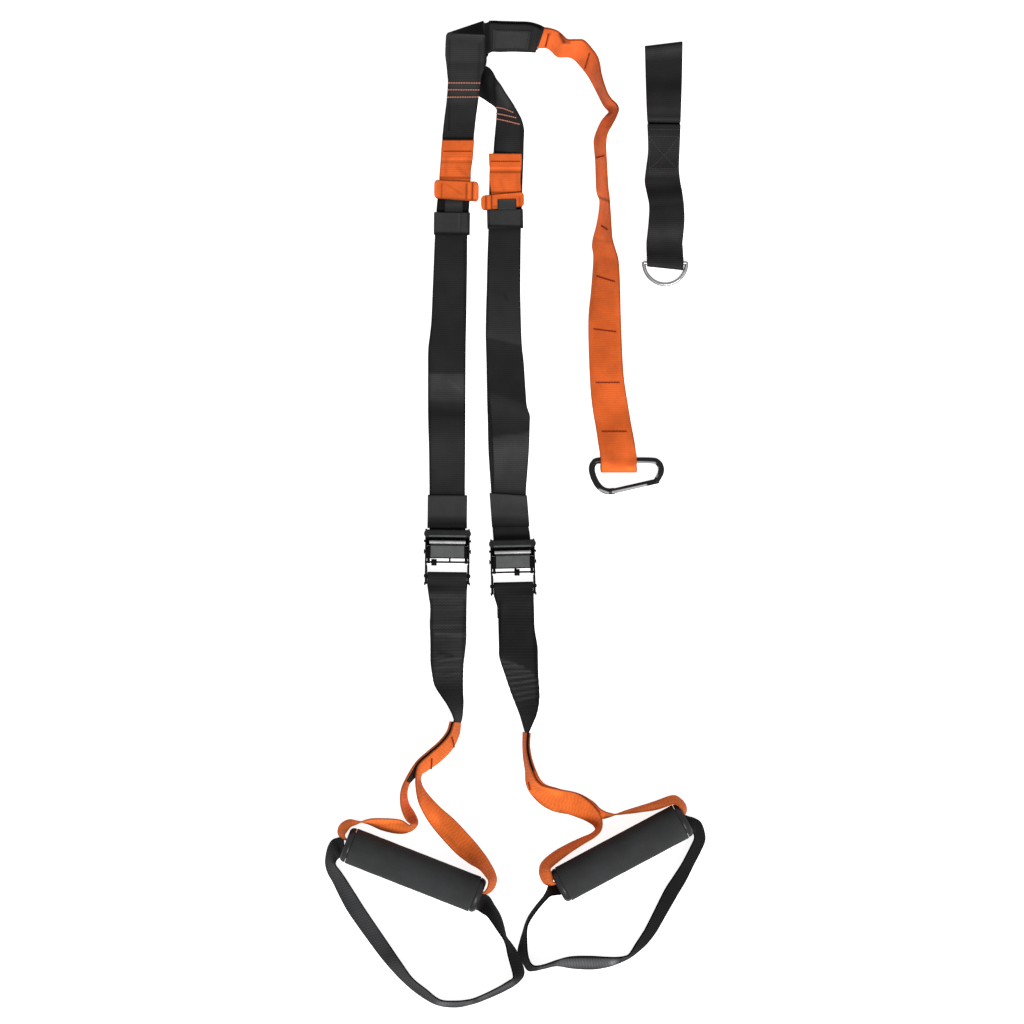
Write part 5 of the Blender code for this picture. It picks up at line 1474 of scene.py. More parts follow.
# Share of its width that the riser keeps inside the sewn joint
JOINT_FACTOR = 0.61
# The joint where the riser is sewn between the two legs of the yoke
JOINT_ROUTE = {
    "left": (
        Spot(-62.4, -219, -74), Spot(-65.2, -231.5, -68), Spot(-73.5, -244.5, -60), Spot(-86, -256, -58),
        Spot(-98, -265.5, -64),
    ),
    "right": (
        Spot(12.3, -230, 83), Spot(11.8, -243, 84), Spot(13, -256, 81), Spot(16.2, -270, 75),
        Spot(19.8, -283, 60),
    ),
}
# Each leg of the yoke from that joint to its end of the grip, by (side, end)
LEG_ROUTE = {
    ("left", -1): (
        Spot(-109, -277, -76, 0.5), Spot(-115, -291, -76, 0.5), Spot(-114.5, -305, -72, 1),
        Spot(-109, -317, -66, 2), Spot(-104, -325.5, -76, 2.5), Spot(-110, -331, -72, 3),
        Spot(-121, -329.5, -52, 4), Spot(-136.5, -327, -56, 5), Spot(-152, -324, -74, 6),
    ),
    ("left", 1): (
        Spot(-102, -275, -78, 0.5), Spot(-101.5, -287, -76, 0.5), Spot(-96, -301, -60, 0.5),
        Spot(-84.5, -317, -42, 0.5), Spot(-70.5, -331.5, -24, 0.8), Spot(-55.5, -347.5, -24, 2),
        Spot(-41.5, -361.5, -44, 4.5), Spot(-32.5, -370, -62, 6),
    ),
    ("right", -1): (
        Spot(27.8, -292.5, 42), Spot(43, -301, 14), Spot(61, -305, 14), Spot(76, -312, 38, 0.5),
        Spot(86.5, -321.5, 60, 1.5), Spot(88.5, -331, 78, 3), Spot(82.5, -338, 82, 4.5),
        Spot(71, -344, 78, 5.5), Spot(56.5, -352, 72, 6), Spot(43.5, -360.5, 67, 6.6),
    ),
    ("right", 1): (
        Spot(27.8, -292.5, 42), Spot(43, -301, 14), Spot(61, -305, 14), Spot(76, -310.5, 36, 0.5),
        Spot(89, -316, 62, 1.5), Spot(103, -316.8, 84, 3), Spot(117, -314, 94, 4.5),
        Spot(133.5, -310.4, 101, 5.8), Spot(149, -306.6, 107, 7),
    ),
}
# Each leg's turn into the tube, as (out past the end, up from the axis, roll)
END_TURN = {
    ("left", -1): (
        (1, 24.2, -96), (7, 20.8, -106), (10.4, 15, -112), (11, 9.8, -110), (8.6, 5.8, -104),
        (4.2, 4.2, -96),
    ),
    ("left", 1): (
        (2.6, 26.6, -66), (7.8, 21.8, -70), (9.6, 16, -72), (9.2, 10.6, -75), (6.8, 6, -80),
        (2.4, 4.2, -86),
    ),
    ("right", -1): (
        (2.8, 25.8, 66), (7.4, 20.8, 62), (8.8, 15.6, 61), (8.8, 10.4, 64), (7, 6, 74), (2.6, 4.2, 84),
    ),
    ("right", 1): ((-0.2, 23.8, 108), (4.6, 18.6, 105), (6.2, 13.2, 104), (5.6, 8.4, 101), (2.4, 4.8, 96)),
}
# How far each leg lies from the middle of the sewn joint, and from its own route once it is free
YOKE_STACK = THICKNESS + 0.55
YOKE_STACK_FREE = THICKNESS / 2 + 0.25
# How far from the axis the yoke's webbing enters the handle's tube
BORE_SIDE = 4.0


def at_grip_end(side, end, out, up):
    """The plan position beside an end of the handle: out along its axis, up towards the yoke."""
    axis = Vector((math.cos(side.grip_angle), math.sin(side.grip_angle)))
    towards_yoke = Vector((-axis.y, axis.x))
    centre = Vector((side.grip_x, side.grip_y))
    return centre + axis * end * (GRIP_LENGTH / 2 + out) + towards_yoke * up


def grip_spot(side, end, out, up, roll, width):
    """A spot whose middle is as high as the handle's axis."""
    spot = at_grip_end(side, end, out, up)
    turn = math.radians(roll)
    drop = abs(math.sin(turn)) * width / 2 + abs(math.cos(turn)) * THICKNESS / 2
    return Spot(spot.x, spot.y, roll, GRIP_AXIS_Z - drop)


def raised(spots, stack):
    """Spots lifted so that the layer below, a stack away along the normal, still clears the floor."""
    return [s._replace(lift=s.lift + 0.3 + stack * abs(math.cos(math.radians(s.roll)))) for s in spots]


# Rows of (y, left edge, right edge, height of the low edge, true width)
RISER_EDGES = {
    "left": (
        (585, 427.2, 467.6, 5.6, 42.4), (592, 428.2, 467, 5, 41), (598, 429, 466.9, 3.9, 40),
        (606, 430.3, 466.7, 3.3, 38.6), (615, 430.2, 466.6, 2.4, 38.6), (624, 429.8, 466.5, 1.5, 38.8),
        (640, 430.4, 466.4, 1.3, 38.6), (655, 430.6, 464.8, 1.2, 38.4), (663, 430.9, 463.7, 1.2, 38),
        (674, 432.4, 463.2, 1.2, 37), (685, 434.9, 463, 1.2, 35.5), (695.5, 441.6, 463.2, 1.2, 33),
        (703, 446.9, 463.4, 1.2, 30.5), (712, 452, 462.8, 1.2, 28.5), (719, 454.6, 461.8, 1.2, 26),
    ),
    "right": (
        (594.5, 495.2, 533.8, 5.6, 41.4), (600, 496.3, 533.8, 5, 40.2), (606, 497.2, 534, 3.9, 39.4),
        (613, 498, 534.2, 3.2, 39), (629, 498.4, 534.8, 1.6, 39), (646, 498.8, 537.6, 1.3, 41.2),
        (658, 499.4, 538, 1.2, 41.4), (675, 505, 538.3, 1.2, 38), (685, 508.4, 539, 1.2, 37),
        (694.5, 511.8, 539.3, 1.2, 36), (702, 514.8, 538.8, 1.2, 34.5), (709, 517.6, 537.6, 1.2, 32.5),
        (716, 520.3, 535.6, 1.2, 30),
    ),
}
# Painted light and shade on the riser: lit and shaded bands, painted highlights on its ribs and painted
# shadow along its edges; and the small ribs that lift it
RISER_PAINTED_LIGHT = {
    "left": product(
        banded(
            430, 466, (590, 590, 1), (598, 598, 1.9), (611, 611, 1.5), (618, 618, 1.2), (640, 640, 1.5),
            (658, 658, 1.7), (678, 676, 1.5), (690, 690, 0.9), (710, 710, 0.8),
        ),
        stroked(
            (431, 627, 463, 625, 2.4, 1.8), (436, 634, 465, 635, 3, 2.2), (434, 641, 460, 640, 2, 1.3),
            (431.5, 600, 432, 680, 2.6, 0.45), (464.5, 600, 462, 705, 2.4, 0.5),
            (436, 668, 459, 666, 2, 1.6), (437, 660, 461, 659, 1.8, 1.6), (437, 675, 460, 674, 1.8, 1.5),
            (440, 652, 452, 656, 4, 0.6),
        ),
    ),
    "right": product(
        banded(
            498, 536, (600, 600, 0.8), (608, 608, 0.95), (620, 620, 0.72), (650, 650, 0.75),
            (662, 668, 1.1), (694, 690, 1), (716, 716, 0.7),
        ),
        stroked(
            (500, 602, 499, 655, 2.6, 0.45), (533, 602, 537, 700, 2.4, 0.5), (501, 661, 516, 664, 2.2, 2.6),
            (504, 667, 523, 667, 2.2, 3.2), (506, 672.5, 530, 671, 2.2, 3.2),
            (508, 678, 533, 675, 2.2, 3.4), (511, 683.5, 536, 679.5, 2.2, 3.4),
            (513, 689, 537, 684.5, 2.2, 3.2), (516, 694.5, 537, 690, 2.2, 3),
            (518, 700, 537, 695.5, 2, 2.6),
        ),
    ),
}
RISER_SHAPE = {
    "left": total(ribbed(596, 650, 7.4, 0.34, 0.12), ribbed(645, 690, 5.2, 0.34, 0.18)),
    "right": ribbed(655, 712, 7.4, 0.36, 0.30),
}


def riser_strap(side):
    """The riser: short end below the buckle, round its bottom bar, down to the yoke's sewn joint."""
    across = Vector((1, -side.lean, 0)).normalized()
    reach = BOTTOM_BAR_R + RISER_BIGHT_GAP + THICKNESS / 2
    low = 1.2
    path = [(0, v, low) for v in (-66.0, -54.0, BOTTOM_BAR_V - 10.0)]
    path.append((0, BOTTOM_BAR_V - 2.0, BOTTOM_BAR_Z - reach))
    for k in range(1, 13):
        angle = math.pi * k / 12
        path.append((0, BOTTOM_BAR_V + reach * math.sin(angle), BOTTOM_BAR_Z - reach * math.cos(angle)))
    path.append((0, BOTTOM_BAR_V - 4.5, BOTTOM_BAR_Z + reach - 0.3))
    stations = beside(side, path, across, RISER_WIDTH + 1.5)
    stations = [s._replace(half=17.6) for s in stations[:2]] + stations[2:]
    pairs = []
    for y, left, right, height, width in RISER_EDGES[side.name]:
        west, east = px(left, y), px(right, y)
        rise = math.sqrt(max(width ** 2 - (east[0] - west[0]) ** 2, 0.0))
        heights = (height + rise, height) if side.name == "left" else (height, height + rise)
        pairs.append(((*west, heights[0]), (*east, heights[1])))
    stations += between_edges(pairs, 8)
    spots = []
    for spot in raised(JOINT_ROUTE[side.name], YOKE_STACK):
        spots.append(spot._replace(lift=spot.lift + 0.2, wide=JOINT_FACTOR))
    spots = spots[1:] + [Spot(*s, 0.0, 0.5) for s in RISER_TIP] if side.name == "left" else spots[:-1]
    stations += laid(spots, RISER_WIDTH)
    obj = strap(f"{side.name}_riser_webbing", stations, RIBBED_BLACK, columns=22, tone=RISER_PAINTED_LIGHT[side.name],
                shape=RISER_SHAPE[side.name])
    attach(obj, f"{side.name}_handle")
    lay(f"{side.name}_riser_strap")


def yoke_leg(side, end, stack):
    """Spots from the sewn joint to the middle of the handle's tube."""
    spin = -90 if side.name == "left" else 90
    spots = [s._replace(stack=stack) for s in raised(JOINT_ROUTE[side.name], YOKE_STACK)]
    free = math.copysign(YOKE_STACK_FREE, stack)
    spots += [s._replace(stack=free) for s in raised(LEG_ROUTE[(side.name, end)], YOKE_STACK_FREE)]
    for out, up, roll in END_TURN[(side.name, end)]:
        spots.append(grip_spot(side, end, out, up, roll, YOKE_WIDTH))
    spots += [grip_spot(side, end, out, BORE_SIDE, spin, YOKE_WIDTH) for out in (-4.0, -14.0)]
    return spots


# Painted light and shade on the yoke's legs: lit and shaded stretches where they turn
YOKE_PAINTED_LIGHT = {
    "left": stroked(
        (340, 826, 352, 822, 5, 1.25), (356, 821, 404, 819, 5, 1.5), (358, 829, 406, 833, 4.5, 0.8),
        (404, 800, 432, 812, 22, 1.45), (413, 815, 420, 827, 3, 0.7), (405, 783, 406, 795, 4, 0.75),
        (438, 750, 452, 738, 4, 0.9), (433, 768, 452, 752, 4, 1.12), (419, 781, 420, 800, 4, 0.75),
        (432, 815, 446, 830, 5, 1.12), (462, 846, 478, 866, 5, 0.85), (448, 836, 460, 850, 3.4, 0.8),
    ),
    "right": stroked(
        (538, 783, 560, 794, 5, 1.18), (533, 797, 552, 812, 4, 0.72), (560, 812, 596, 824, 5, 0.7),
        (606, 817, 622, 818, 4, 0.45), (640, 810, 672, 801, 3.4, 1.18), (628, 812, 672, 807, 2.6, 0.78),
        (598, 836, 575, 849, 4, 0.8), (566, 853, 551, 864, 3.4, 0.85), (585, 803, 603, 816, 4, 1.1),
        (521, 740, 525, 768, 3, 0.85), start=1.12,
    ),
}
# Where the left riser's end shows between the legs of the yoke: (x, y, roll, lift)
RISER_TIP = ((-105.6, -273, -70, 3), (-112.2, -282, -78, 3))
# Stitches across each yoke, as (start, end) in the photograph
YOKE_STITCHES = {
    "left": (((450.8, 736), (454.6, 748)), ((431.4, 757), (433, 772))),
    "right": (((529.4, 781), (531, 789)),),
}


def yoke_webbing(side):
    """One strap through the handle's tube, with both its legs sewn together round the riser."""
    front = 1 if side.name == "left" else -1
    first = laid(yoke_leg(side, -front, -YOKE_STACK), YOKE_WIDTH, 10)
    upper = laid(yoke_leg(side, front, YOKE_STACK), YOKE_WIDTH, 10)
    second = [s._replace(normal=-s.normal) for s in reversed(upper)]
    if second[0].across.dot(first[-1].across) < 0:
        second = [s._replace(across=-s.across) for s in second]
    obj = strap(f"{side.name}_yoke_strap", first + second, RIBBED_ORANGE, columns=16,
                tone=YOKE_PAINTED_LIGHT[side.name])
    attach(obj, f"{side.name}_handle")
    lay(f"{side.name}_yoke_webbing")
    lines = photo_lines(YOKE_STITCHES[side.name])
    seams(f"{side.name}_yoke_seam", upper, lines, BROWN_THREAD, f"{side.name}_handle", pitch=2.4, radius=0.95,
          last=0.3)


def lathe(name, outline, material, centre, axis, sides=48, ripple=0.0):
    """A closed turned ring from (radius, height) points along an axis, in layout millimetres."""
    bm = bmesh.new()
    axis = Vector(axis).normalized()
    side = axis.orthogonal().normalized()
    other = axis.cross(side)
    rings = []
    for k in range(sides):
        angle = 2 * math.pi * k / sides
        out = side * math.cos(angle) + other * math.sin(angle)
        ring = []
        for r, h in outline:
            at = Vector(centre) + axis * h + out * r
            if ripple:
                at += out * ripple * noise.noise(at * 0.09)
            ring.append(bm.verts.new(place(at)))
        rings.append(ring)
    bridge(bm, rings, True)
    return finished(bm, name, material, 40.0)


def handle(side):
    """The foam sleeve and the two end caps, turned about the grip's axis."""
    axis = Vector((math.cos(side.grip_angle), math.sin(side.grip_angle), 0))
    centre = Vector((side.grip_x, side.grip_y, GRIP_AXIS_Z))
    body = f"{side.name}_grip"
    half = GRIP_LENGTH / 2 - CAP_FLANGE - 0.3
    lip = 1.2
    outline = [(FOAM_BORE_R, half - 0.2)]
    for k in range(5):
        angle = math.radians(90 * k / 4)
        outline.append((FOAM_SHOWN_R - lip + lip * math.sin(angle), half - lip + lip * math.cos(angle)))
    steps = 24
    for k in range(1, steps):
        outline.append((FOAM_SHOWN_R, (half - lip) * (1 - 2 * k / steps)))
    for k in range(5):
        angle = math.radians(90 * k / 4)
        outline.append((FOAM_SHOWN_R - lip + lip * math.cos(angle), -half + lip - lip * math.sin(angle)))
    outline.append((FOAM_BORE_R, -half + 0.2))
    foam = lathe(f"{side.name}_foam_sleeve", outline, GRIP_FOAM, centre, axis, 56, ripple=0.25)
    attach(foam, body)
    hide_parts(f"{side.name}_grip_foam")
    for name, end in (("inner", side.inward), ("outer", -side.inward)):
        spot = centre + axis * end * (GRIP_LENGTH / 2)
        deep = -CAP_FLANGE - CAP_PLUG_LENGTH
        rim = CAP_FLANGE_R - 0.6
        outline = ((CAP_BORE_R + 0.9, 2.6), (CAP_BORE_R + 2.2, 3.3), (rim - 2.8, 2.9), (rim - 1.2, 1.8),
                   (rim - 0.3, 0.2), (rim, -1.2), (rim, -CAP_FLANGE + 0.5), (rim - 0.3, -CAP_FLANGE),
                   (CAP_PLUG_R, -CAP_FLANGE), (CAP_PLUG_R, deep), (CAP_BORE_R, deep), (CAP_BORE_R, 1.4),
                   (CAP_BORE_R + 0.25, 2.2))
        cap = lathe(f"{side.name}_end_cap_{name}", outline, CAP_PLASTIC, spot, axis * end, 56)
        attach(cap, body)
        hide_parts(f"{side.name}_grip_cap_{name}")


# The foot loops from the inner cap to the outer one; their inner edge is the high one
LOOP_ROWS = {
    "left": (
        (345, 853, 343.5, 836.5, 11), (341, 856.5, 338, 837, 8, 20.6), (338, 859, 331.8, 839.8, 5, 21.4),
        (336.4, 861, 328, 846.5, 3), (336, 863.5, 326, 855.5, 1.8), (337.4, 866, 325.5, 864.5, 1.2),
        (341, 870.5, 328, 873.5, 1), (346.5, 878.5, 332.5, 881.5, 0.9), (356, 893.5, 341, 899, 0.9),
        (366.5, 910, 350.5, 915.5, 0.9), (389, 943, 373.5, 947.5, 0.9), (401, 960.5, 387, 964.5, 0.9),
        (413, 977, 401.5, 980, 0.9), (426, 987.5, 418, 994, 0.9), (440, 998, 436.5, 1004.5, 0.9),
        (455, 999.5, 456, 1007, 0.9), (470, 998, 473.5, 1003.5, 0.9), (481, 994.2, 486, 999, 0.9),
        (497, 986.5, 501, 992.5, 0.9), (508, 980, 514, 985.5, 0.9), (512.6, 977, 521, 979.5, 0.9),
        (513, 974, 524, 974.5, 0.9), (511.6, 968, 524, 969, 0.9), (509.6, 961, 521, 960.5, 1),
        (507.6, 953, 517, 951.5, 1.4), (506.2, 945, 511.5, 943.5, 1.8), (503.8, 938, 506.4, 937, 2),
        (500.8, 933.5, 505, 931, 2.6), (496.8, 928, 503.8, 925.5, 3.4), (492, 921, 501.5, 917.5, 4.6),
        (487.3, 915, 498.5, 911, 6), (482.5, 912, 494.5, 904.5, 8), (478, 909.5, 489, 895.5, 10),
        (473.5, 907.5, 481, 892, 11),
    ),
    "right": (
        (685.5, 828, 682.5, 813.5, 11), (689, 829, 687.5, 815.8, 8), (692, 831, 694, 817.8, 5),
        (693.6, 834.5, 700.5, 822, 2.6), (693.6, 838, 704.2, 831, 1.4), (692, 842, 705, 840.5, 0.9),
        (687, 852, 700.5, 851.5, 0.9), (680.5, 864, 693.8, 864.5, 0.9), (672, 877, 686, 880.5, 0.9),
        (664, 889.5, 678, 894, 0.9), (652, 913.5, 665, 916.5, 0.9), (644, 929, 656, 932, 0.9),
        (636, 941.5, 647, 943.5, 0.9), (629, 952.5, 638, 951.5, 0.9), (624, 955, 630, 957.5, 0.9),
        (616, 956, 621, 962, 0.9), (606, 955.8, 609, 966.5, 0.9), (590, 955, 593, 969.2, 0.9),
        (571, 955.4, 573, 968.4, 0.9), (557, 958.8, 557, 965.8, 0.9), (545, 963, 545.5, 968, 0.9),
        (536, 964.6, 534, 970.6, 0.9), (531.4, 962.5, 527.5, 970, 0.9), (528.6, 957, 522.8, 962.5, 0.9),
        (527.4, 950, 518, 951.5, 0.9), (526.8, 940, 520, 941.5, 0.9), (526.6, 931, 523.2, 931, 0.9),
        (527.6, 924, 525.6, 923.3, 0.9), (531.4, 916.5, 529.2, 915.5, 1.4), (538.2, 907, 536, 905.5, 3),
        (545.4, 898.6, 543.2, 896.6, 5), (549.8, 894.6, 546.8, 890, 7), (554, 893.6, 548.8, 885, 9),
        (561, 893, 556, 881, 10),
    ),
}
# Painted light and shade on the foot loops: the right one mostly in painted shade, and lit and shaded
# stretches on both
FOOT_LOOP_PAINTED_LIGHT = {
    "left": stroked(
        (341.5, 854, 334, 842, 7, 0.55), (330, 862, 380, 940, 18, 1.7), (395, 968, 440, 999, 15, 1.8),
        (440, 1003.5, 470, 1002, 6, 2.6), (480, 997.5, 512, 983, 4, 2.6), (440, 999.5, 470, 999, 1.6, 0.35),
        (486, 904, 504, 935, 12, 0.3), (506, 945, 518, 974, 13, 0.4), (480, 994.2, 509, 980, 1.6, 0.3),
        (338, 864, 412, 976, 1.8, 0.45),
    ),
    "right": stroked(
        (563, 963, 612, 963, 9, 11), (612, 962, 626, 957.5, 4, 2.4), (540, 967.5, 556, 964, 3, 4),
        (562, 956.2, 622, 956.6, 1.8, 0.2), start=0.36,
    ),
}


def foot_loop(side):
    """The loop that hangs from one end cap to the other."""
    stations = leaned(LOOP_ROWS[side.name], LOOP_WIDTH, 8)
    obj = strap(f"{side.name}_loop_webbing", stations, LOOP_BLACK, tone=FOOT_LOOP_PAINTED_LIGHT[side.name])
    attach(obj, f"{side.name}_foot_loop")
    lay(f"{side.name}_foot_loop")


def dress(name, material):
    """A new material on a CAD node that stays."""
    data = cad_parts[name].data
    data.materials.clear()
    data.materials.append(material)


def crossbars(name, side, parts, material, body, ease=0.35):
    """Bars across the buckle in one piece, each a closed (v, z) outline with its first and last u."""
    bm = bmesh.new()
    for outline, u0, u1 in parts:
        rings = [[bm.verts.new(place(on_side(side, u, v, z))) for v, z in outline] for u in (u0, u1)]
        bridge(bm, rings)
    bmesh.ops.recalc_face_normals(bm, faces=bm.faces)
    bmesh.ops.bevel(bm, geom=bm.edges[:], offset=ease * MM, segments=3, profile=0.6, affect="EDGES")
    obj = finished(bm, name, material, 40.0)
    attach(obj, body)
    return obj


def crossbar(name, side, outline, half, material, body, ease=0.35):
    """One bar, as long on either side of the buckle's middle."""
    return crossbars(name, side, ((outline, -half, half),), material, body, ease)


def oblong(v0, z0, v1, z1, radius, count=4):
    """A closed outline in (v, z) with round corners of count steps each."""
    points = []
    for cx, cz, start in ((v1 - radius, z0 + radius, -90), (v1 - radius, z1 - radius, 0),
                          (v0 + radius, z1 - radius, 90), (v0 + radius, z0 + radius, 180)):
        for k in range(count + 1):
            angle = math.radians(start + 90 * k / count)
            points.append((cx + radius * math.cos(angle), cz + radius * math.sin(angle)))
    return points


# Closed (v, z) outlines of the buckle's side plate and of the lever's ears
SIDE_PLATE = (
    (-39.5, 1.6), (-3, 0.6), (-1.6, 0.1), (15.6, 0.1), (16.9, 1.6), (16.9, 7), (15.4, 8.6), (6.6, 8.7),
    (4.6, 10.6), (2, 12.3), (-20, 12.3), (-24, 11.3), (-28, 9.3), (-38.5, 9.3), (-41.2, 7.4), (-41.2, 3.4),
)
LEVER_EAR = ((-19.5, 7.6), (-16.4, 7.4), (-3, 7.6), (-2, 8.6), (-2.6, 10.2), (-16.4, 10.4), (-19.5, 10.2))
# Where the lever's hub shows on the cam's pin, and its size
HUB_U = {"left": -16.4, "right": 1.6}
HUB_R = 3.5
HUB_LENGTH = 5.4
# Sections of the buckle's smaller parts: v and z of a corner, of the corner across, and the round's radius
REAR_CHEEK = (-41.0, 1.8, -21.0, 9.2, 1.2)
FLOOR_PLATE = (-1.0, 0.0, 15.0, 1.0, 0.3)
FLOOR_TAB = (-14.3, 0.0, -1.2, 0.6, 0.2)
TOP_BAR = (7.9, 9.0, 16.1, 12.9, 1.6)
# A thin raised strip along the top bar, in the lever's paler paint: a painted highlight
TOP_BAR_HIGHLIGHT = (8.6, 12.6, 10.4, 13.2, 0.2)
HUB_RIB = (-17.4, 8.4, -12.6, 9.8, 0.3)
LEVER_FLOOR = (-14.2, 8.2, -1.0, 9.5, 0.3)
THUMB_PLATE = (-13.0, 9.4, -0.6, 10.9, 0.4)
PLATE_EDGE = (-13.9, 8.6, -12.8, 11.1, 0.5)
THUMB_LIP = (1.3, 9.4, 4.8, 12.7, 1.5)
LIP_NECK = (-1.4, 9.2, 2.0, 10.4, 0.4)
FLARE = (-42.4, 0.5, -39.2, 7.4, 0.9)
RIVET = (2.8, 5.6, 5.4, 8.2, 1.2)
# The round ears at the ends of the top bar
EAR_U, EAR_V, EAR_Z = 20.4, 12.0, 10.95
EAR_R = 4.3
EAR_HALF = 1.9
# Half the length of the bottom bar and of the cam's pin
BAR_HALF = 23.6


def buckle_frame(side):
    """Side plates in one piece with the floor between them, the top bar, the bottom bar and the cam's pin."""
    name = side.name
    body = f"{name}_buckle"
    for part in ("strap_bar", "cam_spring"):
        dress(f"{name}_buckle_{part}", BUCKLE_PAINT)
    dress(f"{name}_grip_tube", CAP_PLASTIC)
    parts = [(SIDE_PLATE, end * PLATE_INNER, end * PLATE_OUTER) for end in (-1, 1)]
    parts += [(oblong(*REAR_CHEEK), end * 20.9, end * 21.8) for end in (-1, 1)]
    parts += [(oblong(*FLOOR_PLATE, 2), -21.8, 21.8)]
    parts += [(oblong(*FLOOR_TAB, 2), end * 16.0, end * 21.9) for end in (-1, 1)]
    # The plates take the darker copy of the paint: painted shade
    plates = crossbars(f"{name}_side_plates", side, parts, PAINT_DARKENED_FOR_SHADE, body, 0.15)
    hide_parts(f"{name}_buckle_frame")
    bar = crossbar(f"{name}_top_crossbar", side, oblong(*TOP_BAR), EAR_U + 0.7, BUCKLE_PAINT, body, 0.25)
    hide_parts(f"{name}_buckle_top_bar")
    outline = ((0.3, -EAR_HALF), (EAR_R - 0.5, -EAR_HALF), (EAR_R, 0.5 - EAR_HALF), (EAR_R, EAR_HALF - 0.5),
               (EAR_R - 0.5, EAR_HALF), (0.3, EAR_HALF))
    for k, end in enumerate((-1, 1)):
        spot = on_side(side, end * EAR_U, EAR_V, EAR_Z)
        ear = lathe(f"{name}_bar_ear_{k}", outline, BUCKLE_PAINT, spot, (0, 0, 1), 28)
        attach(ear, body)
    # Painted highlight: a pale strip along the top bar
    crossbar(f"{name}_bar_ridge", side, oblong(*TOP_BAR_HIGHLIGHT, 2), 19.5, LEVER_PAINT, body, 0.08)
    low = [on_side(side, u, BOTTOM_BAR_V, BOTTOM_BAR_Z) for u in (-BAR_HALF, -12.0, 0.0, 12.0, BAR_HALF)]
    line, radii = rounded_ends(low, BOTTOM_BAR_R, 3)
    bottom = rod(f"{name}_bottom_rod", line, radii, BUCKLE_PAINT, 20)
    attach(bottom, body)
    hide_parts(f"{name}_buckle_bottom_bar")
    pin = [on_side(side, u, CAM_PIN_V, CAM_PIN_Z) for u in (-BAR_HALF, 0.0, BAR_HALF)]
    cam_pin = rod(f"{name}_cam_axle", pin, [CAM_PIN_R] * 3, BUCKLE_PAINT, 16)
    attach(cam_pin, body)
    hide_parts(f"{name}_buckle_cam_pin")


def cam_lever(side):
    """The lever: hub, ears, thumb plate with its rear edge, and the pale lip with the neck that holds it."""
    name = side.name
    lever = f"{name}_cam_lever"
    nub = [on_side(side, HUB_U[name] + u, CAM_PIN_V - 0.4, CAM_PIN_Z) for u in (-0.4, HUB_LENGTH)]
    # Hub and ears take the darker copy of the paint: painted shade
    hub = rod(f"{name}_lever_hub", nub, [HUB_R, HUB_R], PAINT_DARKENED_FOR_SHADE, 20)
    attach(hub, lever)
    parts = [(LEVER_EAR, end * 18.2, end * 21.2) for end in (-1, 1)]
    parts += [(oblong(*HUB_RIB, 2), 1.6, 3.6), (oblong(*LEVER_FLOOR, 2), -21.1, 21.1)]
    ears = crossbars(f"{name}_lever_ears", side, parts, PAINT_DARKENED_FOR_SHADE, lever, 0.15)
    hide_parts(f"{name}_buckle_cam_lever")
    for piece, outline, half, paint, ease in (
            ("thumb_plate", oblong(*THUMB_PLATE, 2), LEVER_HALF, LEVER_PAINT, 0.15),
            ("plate_edge", oblong(*PLATE_EDGE, 2), 17.9, BUCKLE_PAINT, 0.1),
            ("thumb_lip", oblong(*THUMB_LIP), 19.0, LIP_METAL, 0.2),
            ("lip_neck", oblong(*LIP_NECK, 2), 18.0, BUCKLE_PAINT, 0.1)):
        crossbar(f"{name}_{piece}", side, outline, half, paint, lever, ease)


def buckle_ends(side):
    """The flares and rivets outside the side plates."""
    name = side.name
    for k, end in enumerate((-1, 1)):
        for piece, outline, near, far, ease in (
                ("flare", oblong(*FLARE), 22.6, 24.2, 0.3),
                ("rivet", oblong(*RIVET), 23.2, 24.8, 0.2)):
            u0, u1 = sorted((end * near, end * far))
            crossbars(f"{name}_{piece}_{k}", side, ((outline, u0, u1),), BUCKLE_PAINT, f"{name}_buckle", ease)


# Studio


def surroundings(scene):
    """White surroundings that light the part at about a third of what the camera and reflections see."""
    world = bpy.data.worlds.new("studio")
    scene.world = world
    world.use_nodes = True
    nodes, links = world.node_tree.nodes, world.node_tree.links
    sky = nodes["Background"]
    rays = nodes.new("ShaderNodeLightPath")
    seen = nodes.new("ShaderNodeMath")
    seen.operation = "ADD"
    seen.use_clamp = True
    links.new(rays.outputs["Is Camera Ray"], seen.inputs[0])
    gloss = nodes.new("ShaderNodeMath")
    gloss.operation = "ADD"
    links.new(rays.outputs["Is Glossy Ray"], gloss.inputs[0])
    links.new(rays.outputs["Is Transmission Ray"], gloss.inputs[1])
    links.new(gloss.outputs[0], seen.inputs[1])
    dimmed = nodes.new("ShaderNodeMapRange")
    dimmed.inputs["To Min"].default_value = 0.35
    dimmed.inputs["To Max"].default_value = 1.0
    links.new(seen.outputs[0], dimmed.inputs["Value"])
    links.new(dimmed.outputs[0], sky.inputs["Strength"])
    sky.inputs["Color"].default_value = (1, 1, 1, 1)


def soft_sun(scene):
    """One sun from in front and above, wide enough for soft shadows."""
    sun = bpy.data.lights.new("key", "SUN")
    sun.energy = 2.8
    sun.angle = math.radians(24)
    key = bpy.data.objects.new("key", sun)
    scene.collection.objects.link(key)
    key.rotation_euler = Vector((0.25, -0.85, 1.0)).to_track_quat("Z", "Y").to_euler()


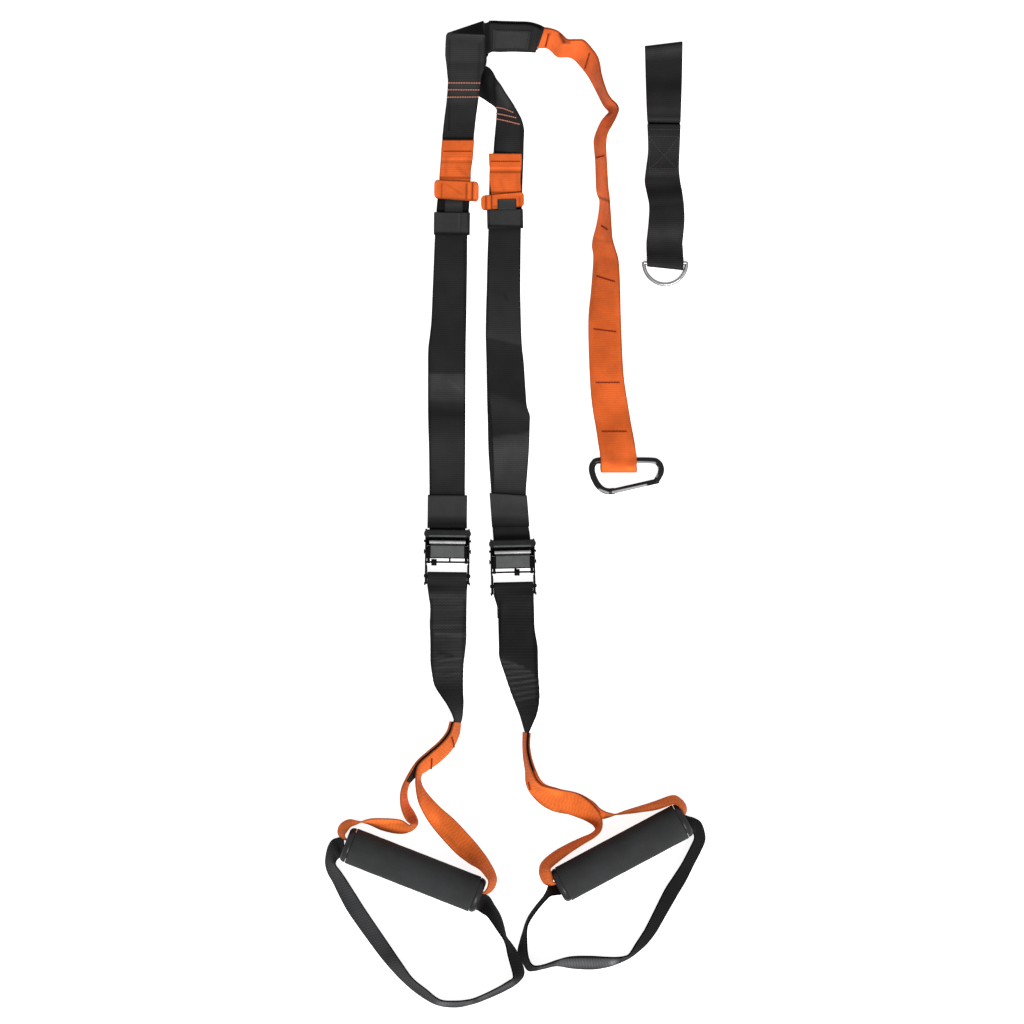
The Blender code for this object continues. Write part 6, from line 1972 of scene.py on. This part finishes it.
def paper(scene):
    """White paper just below the part, bright to the camera and matt to the light."""
    bm = bmesh.new()
    bmesh.ops.create_grid(bm, x_segments=1, y_segments=1, size=6.0)
    mesh = bpy.data.meshes.new("floor")
    bm.to_mesh(mesh)
    bm.free()
    floor = bpy.data.objects.new("floor", mesh)
    scene.collection.objects.link(floor)
    floor.location.z = -0.0002
    material = bpy.data.materials.new("floor")
    material.use_nodes = True
    nodes, links = material.node_tree.nodes, material.node_tree.links
    nodes.clear()
    out = nodes.new("ShaderNodeOutputMaterial")
    matt = nodes.new("ShaderNodeBsdfDiffuse")
    matt.inputs["Color"].default_value = (0.9, 0.9, 0.9, 1)
    glow = nodes.new("ShaderNodeEmission")
    rays = nodes.new("ShaderNodeLightPath")
    amount = nodes.new("ShaderNodeMath")
    amount.operation = "MULTIPLY"
    amount.inputs[1].default_value = 0.85
    links.new(rays.outputs["Is Camera Ray"], amount.inputs[0])
    links.new(amount.outputs[0], glow.inputs["Strength"])
    both = nodes.new("ShaderNodeAddShader")
    links.new(matt.outputs[0], both.inputs[0])
    links.new(glow.outputs[0], both.inputs[1])
    links.new(both.outputs[0], out.inputs["Surface"])
    mesh.materials.append(material)


def plan_camera(scene):
    """A camera straight above, far off and narrow, so that the plan shows hardly any perspective."""
    distance = 6.0
    view_width = 1.0752
    lens = bpy.data.cameras.new("camera")
    lens.sensor_width = 36.0
    lens.lens = lens.sensor_width * distance / view_width
    lens.clip_end = 50.0
    camera = bpy.data.objects.new("camera", lens)
    scene.collection.objects.link(camera)
    middle = place((*px(512.0, 512.0), 0.0))
    camera.location = (middle.x, middle.y, distance)
    camera.rotation_euler = (0, 0, 0)
    scene.camera = camera


def studio():
    scene = bpy.context.scene
    scene.view_settings.view_transform = "Standard"
    surroundings(scene)
    soft_sun(scene)
    paper(scene)
    plan_camera(scene)


def build():
    lead()
    band()
    carabiner()
    anchor_strap()
    d_ring()
    for side in (LEFT, RIGHT):
        main_strap(side)
        tail_strap(side)
        adjust_tab(side)
        tab_tongue(side)
        keepers(side)
        buckle_frame(side)
        cam_lever(side)
        buckle_ends(side)
        riser_strap(side)
        yoke_webbing(side)
        handle(side)
        foot_loop(side)
    dress("carabiner_gate_spring", BRIGHT_STEEL)


build()
studio()
